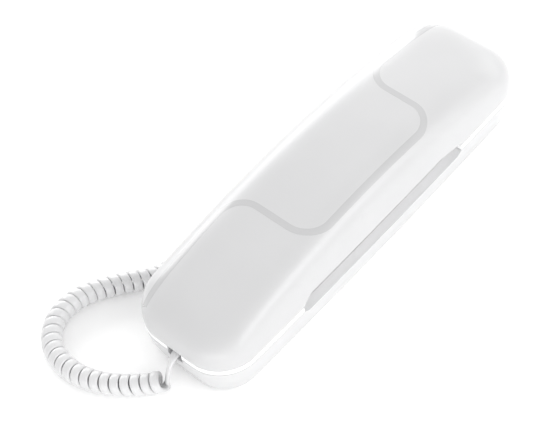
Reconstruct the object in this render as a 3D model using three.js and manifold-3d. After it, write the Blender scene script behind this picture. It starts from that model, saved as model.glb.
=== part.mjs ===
// A slim corded telephone: a domed handset that lies face down on a long cradle base, and a curly cord.
// Millimetres, +Z up, +Y towards the earpiece end. The origin is on the table, under the middle of the body.
import * as THREE from "three";
import { mergeVertices } from "three/addons/utils/BufferGeometryUtils.js";
import Module from "manifold-3d";

const wasm = await Module();
wasm.setup();

// ---- Driving dimensions ----------------------------------------------------------------------

// Plan of the body, shared by the handset and the base
const bodyLength = 210;
const bodyWidth = 58.3; // at the ends, before the long sides swell
const sideSwell = 1.3; // each long side, at mid length
const endSwell = 0.75; // each end, at mid width
const cornerRadius = 18;

// Heights
const footStand = 1.2; // the base plate's flat face stands this high on its feet
const plateThickness = 2.2;
const bandHeight = 3; // the handset's visible edge band
const endRise = 12.2; // the dome's height above the band at the ends
const crownRise = 13.2; // what the dome gains at mid length
const shoulderWidth = 21; // from the side to where the dome is flat across
const shoulderPower = 3.1; // 2 is an ellipse, more is squarer

// Walls and clearances
const wall = 2;
const coverWall = 2.2;
const seam = 0.3; // between shells that close on each other
const fit = 0.3; // round any piece that sits in another
const cradleGap = 0.7; // round the handset's tub in the cradle

// The handset's inset tub and the cradle's well
const tubInset = 5.4;
const tubTaper = 1; // how much further in the tub is at its face
const tubRise = 5.8; // above the dome's lower edge, inside the cover
const capDrop = 5.9; // the mouth and ear caps reach this far below the rim
const saddleDrop = 2.9; // the keypad face reaches this far
const mouthCapLength = 42; // from the near end to the keypad face
const capRamp = 3.5;
const rampShift = 1; // of each ramp's inner side, which keeps the wall's thickness
const wellGap = 1.8; // under the caps
const keyFloorGap = 1; // under the key tops

// Finger notches along both sides
const notchLength = 109.5;
const notchRise = 5; // of the cover's edge
const notchDrop = 1.7; // of the base's rim
const notchNearRamp = 4;
const notchFarRamp = 9;
const liningProud = 0.2; // of the tub's ledge, below the cover's raised edge

// Accent inlay on the dome
const inlayWidth = 3.2;
const inlayDepth = 0.9;
const inlayNearLane = 8.5; // from each lane's middle to the body's side
const inlayMiddleLane = 7.1;
const inlayFarLane = 11;
const inlayBend = 12.5; // radius of each turn
const inlayNearCross = -38.3; // where the inlay crosses the middle
const inlayFarCross = 46.6;
const inlayEndGap = 4.6; // from each end of the body

// Keys
const keyWeb = 3; // between key windows
const keypadEdge = 2.4; // from the tub's inner wall to the outer windows
const keyLength = 8; // along the body
const keyPitch = 12.2;
const keypadStart = 11; // from the keypad face's near edge to the first row's middle
const functionGap = 16; // from the top dial row to the function row
const keyProud = 1.4;
const keyTravel = 1.2;
const keyFlange = 0.9; // how far, and how thick, the flange that retains a key is
const matThickness = 1.2;
const boardThickness = 1.6;
const baseBoardThickness = 1.2;
const boardSideGap = 1.6;

// Hook plunger and its switch
const plungerRadius = 2.8;
const plungerTravel = 3;
const plungerInset = 13; // from the keypad face's far edge
const switchSize = new THREE.Vector3(12, 7, 6);

// Modular plugs and jacks
const plugWidth = 7.65;
const plugHeight = 6;
const plugLength = 11.5;
const jackWall = 0.7;
const jackSpare = 0.5; // over the base's handset jack
const handsetPlugSetback = 3.6; // from the near end to the plug's rear
const handsetJackDepth = 13;
const basePlugProud = 0.6;
const lineJackWidth = 9.7;
const lineJackHeight = 6.5;
const lineJackDepth = 11;
const handsetCordFromNear = 53; // the base's handset jack, from the near end
const lineJackY = 34;

// Voice parts
const earFromEnd = 26;
const speakerRadius = 13.5;
const speakerHeight = 6.2;
const gasketHeight = 1.2;
const soundHoleRadius = 1.1;
const micFromEnd = 28.5;
const micRadius = 4.75;
const micHeight = 4.5;
const micBootWall = 1.2;

// Ringer and its volume switch
const ringerRadius = 10;
const ringerHeight = 4.6;
const volumeTravel = 6;
const volumeKnobLength = 4;
const volumeKnobHeight = 2.6;
const volumeY = -8;
const volumeZ = 7.6;

// Weights, feet and screws
const ballastThickness = 4.6;
const ballastSideGap = 1.75;
const ballastScrewGap = 3;
const ballastLift = 1; // over the speaker
const footRadius = 5;
const footSink = 0.3;
const footFromEnd = 15;
const footFromSide = 13.65;
const screwHeadRadius = 2.6;
const screwHeadHeight = 0.9;
const screwRadius = 1.25;
const screwLength = 6;
const bossWall = 1.5;
const baseScrewFromSide = 12.15;
const handsetScrewFromSide = 14.15;
const baseScrewFromEnd = 35;

// Wall keyholes
const keyholeSpacing = 100;
const keyholeHeadRadius = 4.2;
const keyholeSlotWidth = 4.6;
const keyholeSlotLength = 8;
const keyholePadProud = 0.6;
const keyholePadMargin = 3.4;

// The curly cord
const coilRadius = 5;
const cordRadius = 1.7;

// How finely round shapes are cut
const cornerSteps = 5;
const sideSteps = 6;
const endSteps = 2;
const roundSides = 16;
const inlaySteps = 58;

// ---- Worked out from the driving dimensions ---------------------------------------------------

const plateTop = footStand + plateThickness;
const baseShellZ = plateTop + seam;
const plugSpace = { width: plugWidth + 2 * fit, height: plugHeight + 2 * fit };
const jackBottom = baseShellZ;
const basePlugZ = jackBottom + jackWall + plugSpace.height / 2;
const tableZ = basePlugZ + plugSpace.height / 2 + jackWall + jackSpare + wall;
const faceZ = tableZ + keyFloorGap + keyProud;
const baseHeight = faceZ + saddleDrop; // to the top of the cradle's rim

const halfLength = bodyLength / 2 - endSwell;
const halfWidth = bodyWidth / 2;
const nearEnd = -bodyLength / 2;
const farEnd = bodyLength / 2;
const bandZ = baseHeight + seam;
const domeZ0 = bandZ + bandHeight + seam;
const capZ = baseHeight - capDrop;
const faceInnerZ = faceZ + wall;
const capInnerZ = capZ + wall;
const tubTopZ = domeZ0 + tubRise;
const bossRadius = screwRadius + fit + bossWall;
const earY = farEnd - earFromEnd;
const earScrewY = earY - speakerRadius - fit - bossRadius;
const saddleNear = nearEnd + mouthCapLength;
const saddleFar = earScrewY - bossRadius - fit - capRamp - rampShift;
const wellZ = capZ - wellGap;
const notchNear = -notchLength / 2;
const notchFar = notchLength / 2;
const wellInset = tubInset - cradleGap;

// ---- Solids and meshes ------------------------------------------------------------------------

function solid(geometry) {
  const bare = geometry.clone();
  for (const name of Object.keys(bare.attributes)) {
    if (name !== "position") bare.deleteAttribute(name);
  }
  const merged = mergeVertices(bare, 1e-4);
  return new wasm.Manifold(
    new wasm.Mesh({
      numProp: 3,
      vertProperties: merged.attributes.position.array,
      triVerts: new Uint32Array(merged.index.array),
    }),
  );
}

function geometryOf(made) {
  const mesh = made.getMesh();
  const geometry = new THREE.BufferGeometry();
  geometry.setAttribute("position", new THREE.BufferAttribute(mesh.vertProperties, mesh.numProp));
  geometry.setIndex(new THREE.BufferAttribute(mesh.triVerts, 1));
  return geometry;
}

const joined = (solids) => solids.reduce((all, next) => all.add(next));
const cut = (body, tools) => tools.reduce((left, tool) => left.subtract(tool), body);

function box(low, high) {
  const size = high.map((value, axis) => value - low[axis]);
  const middle = high.map((value, axis) => (value + low[axis]) / 2);
  return solid(new THREE.BoxGeometry(...size).translate(...middle));
}

function cylinder(x, y, radius, lowZ, highZ, sides = roundSides) {
  const geometry = new THREE.CylinderGeometry(radius, radius, highZ - lowZ, sides);
  return solid(geometry.rotateX(Math.PI / 2).translate(x, y, (lowZ + highZ) / 2));
}

function roundedShape(width, length, radius) {
  const x = width / 2;
  const y = length / 2;
  const shape = new THREE.Shape();
  shape.moveTo(x, radius - y);
  shape.lineTo(x, y - radius);
  shape.absarc(x - radius, y - radius, radius, 0, Math.PI / 2);
  shape.absarc(radius - x, y - radius, radius, Math.PI / 2, Math.PI);
  shape.absarc(radius - x, radius - y, radius, Math.PI, Math.PI * 1.5);
  shape.absarc(x - radius, radius - y, radius, Math.PI * 1.5, Math.PI * 2);
  return shape;
}

function extruded(shape, depth, curveSegments = 2) {
  return new THREE.ExtrudeGeometry(shape, { depth, bevelEnabled: false, curveSegments });
}

function roundedBlock(x, y, width, length, radius, lowZ, highZ) {
  const geometry = extruded(roundedShape(width, length, radius), highZ - lowZ);
  return solid(geometry.translate(x, y, lowZ));
}

// A prism that runs right across the body, from its outline as [y, z] points.
function acrossPrism(points) {
  const shape = new THREE.Shape(points.map(([y, z]) => new THREE.Vector2(y, z)));
  const turn = new THREE.Matrix4().makeBasis(
    new THREE.Vector3(0, 1, 0),
    new THREE.Vector3(0, 0, 1),
    new THREE.Vector3(1, 0, 0),
  );
  return solid(extruded(shape, bodyWidth * 2).applyMatrix4(turn).translate(-bodyWidth, 0, 0));
}

// ---- The plan outline and solids lofted from it -----------------------------------------------

// The body's rounded outline as [x, y] points, anticlockwise from the middle of the near end.
// Point i and point count - i mirror each other across the middle.
function outline(width, length, radius) {
  const half = [];
  for (let k = 0; k < endSteps; k++) half.push([((width - radius) * k) / endSteps, -length]);
  for (let k = 0; k < cornerSteps; k++) {
    const angle = ((k / cornerSteps - 1) * Math.PI) / 2;
    half.push([width - radius + radius * Math.cos(angle), radius - length + radius * Math.sin(angle)]);
  }
  for (let k = 0; k < sideSteps; k++) half.push([width, (length - radius) * ((2 * k) / sideSteps - 1)]);
  for (let k = 0; k < cornerSteps; k++) {
    const angle = ((k / cornerSteps) * Math.PI) / 2;
    half.push([width - radius + radius * Math.cos(angle), length - radius + radius * Math.sin(angle)]);
  }
  for (let k = 0; k <= endSteps; k++) half.push([(width - radius) * (1 - k / endSteps), length]);
  const other = half.slice(1, -1).reverse();
  return [...half, ...other.map(([x, y]) => [-x, y])].map(([x, y]) => [
    x * (1 + (sideSwell * (1 - (y / length) ** 2)) / width),
    y + Math.sign(y) * endSwell * (1 - (x / width) ** 2) * rampUp((Math.abs(y) - length + radius) / radius),
  ]);
}

const rampUp = (value) => Math.min(Math.max(value, 0), 1);
const mix = (a, b, share) => a + (b - a) * share;

function ring(inset, z) {
  const points = outline(halfWidth - inset, halfLength - inset, cornerRadius - inset);
  return points.map(([x, y]) => [x, y, z]);
}

// Closes a stack of rings, lowest first, into one solid.
function loft(rings) {
  const count = rings[0].length;
  const index = [];
  const quad = (a, b, c, d) => index.push(a, b, c, a, c, d);
  for (let level = 0; level + 1 < rings.length; level++) {
    for (let i = 0; i < count; i++) {
      const next = (i + 1) % count;
      const here = level * count;
      quad(here + i, here + next, here + count + next, here + count + i);
    }
  }
  const top = (rings.length - 1) * count;
  for (let i = 1; i + 1 < count / 2; i++) {
    quad(count - i, count - i - 1, i + 1, i);
    quad(top + i, top + i + 1, top + count - i - 1, top + count - i);
  }
  const middle = count / 2;
  index.push(0, count - 1, 1, middle - 1, middle + 1, middle);
  index.push(top, top + 1, top + count - 1, top + middle, top + middle + 1, top + middle - 1);
  const geometry = new THREE.BufferGeometry();
  geometry.setAttribute("position", new THREE.Float32BufferAttribute(rings.flat(2), 3));
  geometry.setIndex(index);
  return solid(geometry);
}

// A loft from [inset, z] pairs, lowest first.
const stack = (levels) => loft(levels.map(([inset, z]) => ring(inset, z)));

// ---- The dome ---------------------------------------------------------------------------------

const spineWidth = halfWidth - shoulderWidth;
const spineLength = halfLength - shoulderWidth;
const spineRadius = spineWidth * 0.85;
const domeShares = [0.012, 0.05, 0.12, 0.23, 0.4, 0.65, 1];

const riseAt = (y) => endRise + crownRise * (1 - (y / halfLength) ** 2);
const shoulder = (share) => (1 - (1 - share) ** shoulderPower) ** (1 / shoulderPower);

// Half width, half length and corner radius of the dome's contour at a share of the shoulder.
function contour(share, inset = 0) {
  return [
    mix(halfWidth - inset, spineWidth, share),
    mix(halfLength - inset, spineLength, share),
    mix(cornerRadius - inset, spineRadius, share),
  ];
}

function domeRing(share, inset, drop) {
  const height = (y) => domeZ0 + (riseAt(y) - drop) * shoulder(share);
  return outline(...contour(share, inset)).map(([x, y]) => [x, y, height(y)]);
}

// Height of the dome's outer surface over a point of the plan.
function domeHeight(x, y) {
  const outside = (share) => {
    const [width, length, radius] = contour(share);
    const plainX = Math.abs(x) / (1 + (sideSwell * (1 - (y / length) ** 2)) / width);
    const overX = plainX - width + radius;
    const overY = Math.abs(y) - length + radius;
    const corner = Math.hypot(Math.max(overX, 0), Math.max(overY, 0));
    return corner + Math.min(Math.max(overX, overY), 0) - radius;
  };
  let low = 0;
  let high = 1;
  if (outside(1) < 0) low = 1;
  for (let k = 0; k < 30 && low < 1; k++) {
    const middle = (low + high) / 2;
    if (outside(middle) < 0) low = middle;
    else high = middle;
  }
  return domeZ0 + riseAt(y) * shoulder(low);
}

// ---- Accent inlay: a ribbon that swings from the left side to the right and back ---------------

// The inlay's middle line in plan: three straight lanes joined by pairs of equal arcs.
function inlayLine() {
  const nearX = inlayNearLane - halfWidth;
  const middleX = halfWidth - inlayMiddleLane;
  const farX = inlayFarLane - halfWidth;
  const path = new THREE.Path();
  path.moveTo(nearX, -halfLength + inlayEndGap);
  swing(path, inlayNearCross, nearX, middleX);
  swing(path, inlayFarCross, middleX, farX);
  path.lineTo(farX, halfLength - inlayEndGap);
  return path.getSpacedPoints(inlaySteps);
}

// Adds a crossing at that y, from one lane to another: an arc, a straight bar across and an arc back.
function swing(path, y, fromX, toX) {
  const side = Math.sign(toX - fromX);
  const start = side > 0 ? Math.PI : 0;
  const quarter = (side * -Math.PI) / 2;
  path.lineTo(fromX, y - inlayBend);
  path.absarc(fromX + side * inlayBend, y - inlayBend, inlayBend, start, start + quarter, side > 0);
  path.absarc(toX - side * inlayBend, y + inlayBend, inlayBend, start - quarter, start + Math.PI, side < 0);
}

// A ribbon of that half width that follows the inlay's line, from below the dome's surface to above it.
function ribbon(half, below, above, overrun) {
  const points = inlayLine();
  const position = [];
  const index = [];
  points.forEach((point, i) => {
    const before = points[Math.max(i - 1, 0)];
    const after = points[Math.min(i + 1, points.length - 1)];
    const along = after.clone().sub(before).normalize();
    const push = (i === 0 ? -overrun : 0) + (i === points.length - 1 ? overrun : 0);
    const middle = point.clone().addScaledVector(along, push);
    for (const [side, lift] of [[-half, -below], [half, -below], [half, above], [-half, above]]) {
      const x = middle.x + along.y * side;
      const y = middle.y - along.x * side;
      position.push(x, y, domeHeight(x, y) + lift);
    }
  });
  const last = (points.length - 1) * 4;
  for (let i = 0; i < last; i += 4) {
    for (let k = 0; k < 4; k++) {
      const next = (k + 1) % 4;
      index.push(i + k, i + next, i + 4 + next, i + k, i + 4 + next, i + 4 + k);
    }
  }
  index.push(2, 1, 0, 3, 2, 0, last, last + 1, last + 2, last, last + 2, last + 3);
  const geometry = new THREE.BufferGeometry();
  geometry.setAttribute("position", new THREE.Float32BufferAttribute(position, 3));
  geometry.setIndex(index);
  const made = solid(geometry);
  return made.volume() < 0 ? solid(flipped(geometry)) : made;
}

function flipped(geometry) {
  const turned = geometry.clone();
  const order = turned.index.array;
  for (let i = 0; i < order.length; i += 3) [order[i], order[i + 1]] = [order[i + 1], order[i]];
  return turned;
}

// ---- Places shared by several pieces ----------------------------------------------------------

const faceHalfWidth = halfWidth - tubInset - tubTaper - wall;
const keyWidth = (2 * (faceHalfWidth - keypadEdge) - 2 * keyWeb) / 3;
const keyPitchX = keyWidth + keyWeb;
const firstRowY = saddleNear + keypadStart;
const functionY = firstRowY + 3 * keyPitch + functionGap;
const plungerY = saddleFar - plungerInset;
const micY = nearEnd + micFromEnd;
const cordZ = capInnerZ + 2 * fit + jackWall + plugHeight / 2; // of the handset's plug
const handsetPlugRear = nearEnd + handsetPlugSetback;
const baseJackY = nearEnd + handsetCordFromNear;
const keypadBoardNear = saddleNear + 4;
const keypadBoardFar = saddleFar - 3;
const matZ = faceInnerZ + keyFlange + fit + keyTravel + fit;
const boardZ = matZ + matThickness + fit;

// The face is seen from below, so the dial's left column is on the +X side.
const dialRows = [["star", "0", "hash"], ["7", "8", "9"], ["4", "5", "6"], ["1", "2", "3"]];
const functionRow = ["mute", "flash", "redial"];
const keys = [...dialRows, functionRow].flatMap((row, r) =>
  row.map((name, column) => ({
    name: `key_${name}`,
    x: (1 - column) * keyPitchX,
    y: r < dialRows.length ? firstRowY + r * keyPitch : functionY,
  })),
);

const handsetScrews = [
  [0, earScrewY],
  [handsetScrewFromSide - halfWidth, micY + 3],
  [halfWidth - handsetScrewFromSide, micY + 3],
];
// The four places that far from each side and from each end, near left first.
const fourPlaces = (fromSide, fromEnd) =>
  [-1, 1].flatMap((sy) => [-1, 1].map((sx) => [sx * (halfWidth - fromSide), sy * (farEnd - fromEnd)]));
const baseScrews = fourPlaces(baseScrewFromSide, baseScrewFromEnd);
const feet = fourPlaces(footFromSide, footFromEnd);
const keyholes = [2 - keyholeSpacing / 2, -2 + keyholeSpacing / 2];

// ---- Materials --------------------------------------------------------------------------------

function shade(color, roughness, metalness = 0) {
  return () => new THREE.MeshStandardMaterial({ color, roughness, metalness });
}
const whitePlastic = shade(0xf0f0f0, 0.3);
const accentPlastic = shade(0xcfcfcf, 0.2);
const keyPlastic = shade(0xe4e4e6, 0.4);
const silicone = shade(0xd8dadc, 0.7);
const cordPlastic = shade(0xf1f1f1, 0.35);
const clearPlastic = shade(0xd8dde0, 0.1);
const blackPlastic = shade(0x1c1c1e, 0.5);
const boardGreen = shade(0x2e6b3c, 0.5);
const steel = shade(0x9a9ca0, 0.35, 1);
const rubber = shade(0x3a3a3c, 0.9);
const foam = shade(0x2a2a2c, 1);

// ---- Handset ----------------------------------------------------------------------------------

// The room of both finger notches under the cover's raised edge, its ceiling lowered by that much.
function notchCeiling(lowered) {
  return acrossPrism([
    [notchNear, domeZ0 - wall],
    [notchFar, domeZ0 - wall],
    [notchFar, domeZ0],
    [notchFar - notchFarRamp, domeZ0 + notchRise - lowered],
    [notchNear + notchNearRamp, domeZ0 + notchRise - lowered],
    [notchNear, domeZ0],
  ]);
}

function handsetBackCover() {
  const lowEdge = [ring(seam, domeZ0), ring(0, domeZ0 + seam)];
  const outer = loft([...lowEdge, ...domeShares.map((share) => domeRing(share, 0, 0))]);
  const innerShares = domeShares.filter((share, i) => i % 2 === 0);
  const innerRings = innerShares.map((share) => domeRing(share, coverWall, coverWall));
  const inner = loft([ring(coverWall, domeZ0 - wall), ...innerRings]);
  const groove = ribbon(inlayWidth / 2 + fit, inlayDepth + fit, wall, fit);
  const shell = cut(outer, [inner, notchCeiling(0), groove]);
  const bosses = handsetScrews.map(([x, y]) => {
    const top = domeHeight(Math.abs(x) + bossRadius, Math.abs(y) + bossRadius) - coverWall / 2;
    return cylinder(x, y, bossRadius, screwSeat(y) + seam, top, 10);
  });
  const pilots = handsetScrews.map(([x, y]) =>
    cylinder(x, y, screwRadius + fit, screwSeat(y), screwSeat(y) + screwLength + fit, 8),
  );
  return cut(joined([shell, ...bosses]), pilots);
}

// The inside of the front cover's floor over a point at that y: where a cover boss lands.
const screwSeat = (y) => (y < saddleNear || y > saddleFar ? capInnerZ : faceInnerZ);

function handsetFrontCover() {
  const tub = stack([
    [tubInset + tubTaper + 0.5, capZ],
    [tubInset + tubTaper, capZ + 0.5],
    [tubInset, baseHeight],
    [tubInset, tubTopZ],
  ]);
  const saddle = acrossPrism([
    [saddleNear - capRamp, capZ - 1],
    [saddleFar + capRamp, capZ - 1],
    [saddleFar + capRamp, capZ - 0.6],
    [saddleFar, faceZ],
    [saddleNear, faceZ],
    [saddleNear - capRamp, capZ - 0.6],
  ]);
  const hollow = stack([
    [tubInset + tubTaper + wall, capInnerZ],
    [tubInset + wall, baseHeight],
    [tubInset + wall, tubTopZ + 1],
  ]);
  const rampNear = saddleNear - rampShift;
  const rampFar = saddleFar + rampShift;
  const floorBlock = acrossPrism([
    [rampNear - capRamp, capInnerZ - 1],
    [rampFar + capRamp, capInnerZ - 1],
    [rampFar + capRamp, capInnerZ],
    [rampFar, faceInnerZ],
    [rampNear, faceInnerZ],
    [rampNear - capRamp, capInnerZ],
  ]);
  const bandTop = bandZ + bandHeight;
  const band = cut(
    stack([[0.4, bandZ], [0, bandZ + 0.4], [0, bandTop - seam], [seam, bandTop]]),
    [
      stack([[tubInset + 1, bandZ - 1], [tubInset + 1, bandTop + 1]]),
      box([-bodyWidth, notchNear, bandZ - 1], [bodyWidth, notchFar, bandTop + 1]),
    ],
  );
  const lining = cut(
    stack([[coverWall + fit, bandTop - 0.5], [coverWall + fit, tubTopZ]]).intersect(
      box([-bodyWidth, notchNear - wall, 0], [bodyWidth, notchFar + wall, tubTopZ]),
    ),
    [stack([[tubInset + 1, 0], [tubInset + 1, tubTopZ + 1]]), notchCeiling(liningProud)],
  );
  const half = plugWidth / 2 + fit;
  const mouth = box(
    [-half, nearEnd - 1, cordZ - plugHeight / 2 - fit],
    [half, nearEnd + tubInset + wall + 1, cordZ + plugHeight / 2 + fit],
  );
  const shell = cut(joined([cut(tub, [saddle, hollow.subtract(floorBlock)]), band, lining]), [mouth]);
  const windows = keys.map(({ x, y }) => {
    const clearance = 2 * fit;
    return roundedBlock(x, y, keyWidth + clearance, keyLength + clearance, 2.3, faceZ - 1, faceInnerZ + 1);
  });
  const earHoles = [[0, earY]];
  for (let k = 0; k < 8; k++) {
    const angle = (k * Math.PI) / 4;
    earHoles.push([5.5 * Math.cos(angle), earY + 5.5 * Math.sin(angle)]);
  }
  const soundHoles = [...earHoles, [0, micY]].map(([x, y]) =>
    cylinder(x, y, soundHoleRadius, capZ - 1, capInnerZ + 1, 6),
  );
  const screwHoles = handsetScrews.flatMap(([x, y]) => {
    const seat = screwSeat(y);
    return [
      cylinder(x, y, screwRadius + fit, seat - wall - 1, seat + 1, 8),
      cylinder(x, y, screwHeadRadius + fit, seat - wall - 1, seat - wall + screwHeadHeight + fit, 12),
    ];
  });
  const plungerHole = cylinder(0, plungerY, plungerRadius + fit, faceZ - 1, faceInnerZ + 1, 12);
  return cut(shell, [...windows, ...soundHoles, ...screwHoles, plungerHole]);
}

function key({ x, y }) {
  const cap = roundedBlock(x, y, keyWidth, keyLength, 2, faceZ - keyProud, faceInnerZ + fit + 0.1);
  const halfWide = keyWidth / 2 + keyFlange;
  const halfLong = keyLength / 2 + keyFlange;
  const flangeZ = faceInnerZ + fit;
  const flange = box(
    [x - halfWide, y - halfLong, flangeZ],
    [x + halfWide, y + halfLong, flangeZ + keyFlange],
  );
  return cap.add(flange);
}

function keypadMat() {
  const half = faceHalfWidth - 1;
  return box([-half, firstRowY - keyLength, matZ], [half, functionY + keyLength, matZ + matThickness]);
}

function handsetCircuitBoard() {
  const half = faceHalfWidth - 1;
  const board = box([-half, keypadBoardNear, boardZ], [half, keypadBoardFar, boardZ + boardThickness]);
  return board.subtract(cylinder(0, plungerY, plungerRadius + 1.2 + 2 * fit, boardZ - 1, boardZ + 3, 12));
}

function hookPlunger() {
  const tip = faceZ - keyProud + 0.2;
  const flangeZ = faceInnerZ + plungerTravel + fit;
  const stem = cylinder(0, plungerY, plungerRadius, tip, boardZ + boardThickness, 12);
  return stem.add(cylinder(0, plungerY, plungerRadius + 1.2, flangeZ, flangeZ + 0.8, 12));
}

function hookSwitch() {
  const { x, y, z } = switchSize;
  const low = boardZ + boardThickness + fit;
  return box([-x / 2, plungerY - y / 2, low], [x / 2, plungerY + y / 2, low + z]);
}

const earpieceGasket = () =>
  cylinder(0, earY, speakerRadius - 0.5, capInnerZ + fit, capInnerZ + fit + gasketHeight, 20).subtract(
    cylinder(0, earY, speakerRadius - 4, capInnerZ, capInnerZ + 3, 20),
  );

function earpieceSpeaker() {
  const low = capInnerZ + 2 * fit + gasketHeight;
  const rim = cylinder(0, earY, speakerRadius, low, low + speakerHeight * 0.45, 24);
  return rim.add(cylinder(0, earY, speakerRadius * 0.7, low, low + speakerHeight, 24));
}

function microphoneBoot() {
  const radius = micRadius + fit + micBootWall;
  const low = capInnerZ + fit;
  const body = cylinder(0, micY, radius, low, low + micHeight + micBootWall, 20);
  return cut(body, [
    cylinder(0, micY, micRadius + fit, low + micBootWall, low + 20, 20),
    cylinder(0, micY, soundHoleRadius, low - 1, low + 3, 6),
  ]);
}

function microphoneCapsule() {
  const low = capInnerZ + fit + micBootWall + fit;
  return cylinder(0, micY, micRadius, low, low + micHeight, 20);
}

function handsetBallast() {
  const low = capInnerZ + fit;
  const half = faceHalfWidth - ballastSideGap;
  const bottom = low + gasketHeight + speakerHeight + 2 * fit + ballastLift;
  const near = earY - speakerRadius - 7.5;
  const body = box([-half, near, bottom], [half, earY + 4, bottom + ballastThickness]);
  return body.subtract(cylinder(0, earScrewY, bossRadius + 2 * fit, low, domeZ0 + crownRise, 10));
}

function screw(x, y, headZ) {
  const head = cylinder(x, y, screwHeadRadius, headZ, headZ + screwHeadHeight, 12);
  const neckZ = headZ + screwHeadHeight;
  const shank = cylinder(x, y, screwRadius, neckZ - 0.4, neckZ + screwLength, 8);
  const slot = box([x - screwHeadRadius, y - 0.35, headZ - 1], [x + screwHeadRadius, y + 0.35, headZ + 0.45]);
  return head.add(shank).subtract(slot);
}

// ---- Modular jack and plug, both pointing along +Y with their mouth at y = 0 --------------------

function jack(width, height, cavityDepth, depth) {
  const x = width / 2;
  const z = height / 2;
  const outer = box([-x - jackWall, 0, -z - jackWall], [x + jackWall, depth, z + jackWall]);
  return outer.subtract(box([-x, -1, -z], [x, cavityDepth, z]));
}

function plug() {
  const body = box([-plugWidth / 2, 0, -plugHeight / 2], [plugWidth / 2, plugLength, plugHeight / 2]);
  const contacts = [-1.5, -0.5, 0.5, 1.5].map((place) => {
    const x = place * 1.05;
    const top = plugHeight / 2;
    return box([x - 0.3, plugLength - 3.5, top - 0.7], [x + 0.3, plugLength + 1, top + 1]);
  });
  const waist = box([-1.7, -1, -plugHeight / 2 - 1], [1.7, 4.5, -plugHeight / 2 + 1]);
  return cut(body, [...contacts, waist]);
}


// ---- Base -------------------------------------------------------------------------------------

const jackFront = -halfWidth + 2;

// How far the base's outer wall stands in from the outline at a height.
const baseWallInset = (z) => 3.9 * ((baseHeight - z) / (baseHeight - footStand)) ** 1.6;

function wellSolid() {
  const floor = wellInset + tubTaper;
  const space = stack([[floor, wellZ], [wellInset, baseHeight], [wellInset, baseHeight + 2]]);
  const near = saddleNear + 1.5;
  const far = saddleFar - 1.5;
  const table = acrossPrism([
    [near - capRamp + 0.5, wellZ - 1],
    [far + capRamp - 0.5, wellZ - 1],
    [far + capRamp - 0.5, wellZ],
    [far, tableZ],
    [near, tableZ],
    [near - capRamp + 0.5, wellZ],
  ]);
  return space.subtract(table);
}

function baseTopCover() {
  const heights = [baseShellZ, 6.5, 10.5, 15, baseHeight - 0.5];
  const outer = stack([...heights.map((z) => [baseWallInset(z), z]), [0.4, baseHeight]]);
  const capCeiling = wellZ - wall;
  const tableCeiling = tableZ - wall;
  const room = (top) =>
    stack([[baseWallInset(baseShellZ) + wall, baseShellZ - 1], [baseWallInset(top) + wall, top]]);
  const middleRoom = room(tableCeiling).intersect(
    box([-bodyWidth, saddleNear + 5, 0], [bodyWidth, saddleFar - 5, baseHeight]),
  );
  const rimNotch = acrossPrism([
    [notchNear, baseHeight + 1],
    [notchNear, baseHeight],
    [notchNear + notchDrop * 2, baseHeight - notchDrop],
    [notchFar - notchDrop * 2, baseHeight - notchDrop],
    [notchFar, baseHeight],
    [notchFar, baseHeight + 1],
  ]);
  const shell = cut(outer, [wellSolid(), room(capCeiling), middleRoom, rimNotch]);
  const half = plugWidth / 2 + fit;
  const cordSlot = box(
    [-half, nearEnd - 1, cordZ - plugHeight / 2 - fit],
    [half, nearEnd + wellInset + wall, baseHeight + 1],
  );
  const wallWindow = (y, width, high) => {
    return box([-bodyWidth, y - width / 2, baseShellZ - 1], [-halfWidth + 6, y + width / 2, high]);
  };
  const jackFrame = 2 * jackWall + 2 * fit;
  const slotRise = volumeKnobHeight / 2 + fit;
  const slotNear = volumeY - volumeKnobLength / 2 - fit;
  const knobSlot = box(
    [-bodyWidth, slotNear, volumeZ - slotRise],
    [-halfWidth + 8, slotNear + volumeKnobLength + volumeTravel + 2 * fit, volumeZ + slotRise],
  );
  const openings = [
    cordSlot,
    wallWindow(baseJackY, plugSpace.width + jackFrame, jackBottom + plugSpace.height + jackFrame),
    wallWindow(lineJackY, lineJackWidth + jackFrame, jackBottom + lineJackHeight + jackFrame),
    knobSlot,
  ];
  const bosses = baseScrews.map(([x, y]) => cylinder(x, y, bossRadius, baseShellZ, capCeiling + 0.5, 10));
  const pilots = baseScrews.map(([x, y]) =>
    cylinder(x, y, screwRadius + fit, baseShellZ - 1, capCeiling + 0.2, 8),
  );
  const post = cylinder(0, plungerY, plungerRadius + 1.5, tableZ - 0.5, faceZ - keyProud + 0.2 - fit, 12);
  return cut(joined([cut(shell, openings), ...bosses, post]), pilots);
}

function keyholeSolid(y) {
  const half = keyholeSlotWidth / 2;
  const top = plateTop + 1;
  const slotEnd = y + keyholeHeadRadius + keyholeSlotLength - half;
  const head = cylinder(0, y, keyholeHeadRadius, -1, top, 20);
  return joined([head, box([-half, y, -1], [half, slotEnd, top]), cylinder(0, slotEnd, half, -1, top, 20)]);
}

function baseBottomCover() {
  const plate = stack([
    [baseWallInset(footStand) + 2, footStand],
    [baseWallInset(footStand) + 0.7, footStand + 0.4],
    [baseWallInset(plateTop), plateTop],
  ]);
  const pads = keyholes.map((y) => {
    const width = 2 * (keyholeHeadRadius + keyholePadMargin);
    const length = width + keyholeSlotLength;
    const low = footStand - keyholePadProud;
    return roundedBlock(0, y + keyholeSlotLength / 2, width, length, 4, low, footStand + 0.5);
  });
  const footPockets = feet.map(([x, y]) =>
    cylinder(x, y, footRadius + fit, -1, footStand + footSink + fit, 20),
  );
  const screwHoles = baseScrews.flatMap(([x, y]) => [
    cylinder(x, y, screwRadius + fit, -1, plateTop + 1, 8),
    cylinder(x, y, screwHeadRadius + fit, -1, footStand + screwHeadHeight + fit, 12),
  ]);
  return cut(joined([plate, ...pads]), [...keyholes.map(keyholeSolid), ...footPockets, ...screwHoles]);
}

const foot = ([x, y]) => cylinder(x, y, footRadius, 0, footStand + footSink, 20);

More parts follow.
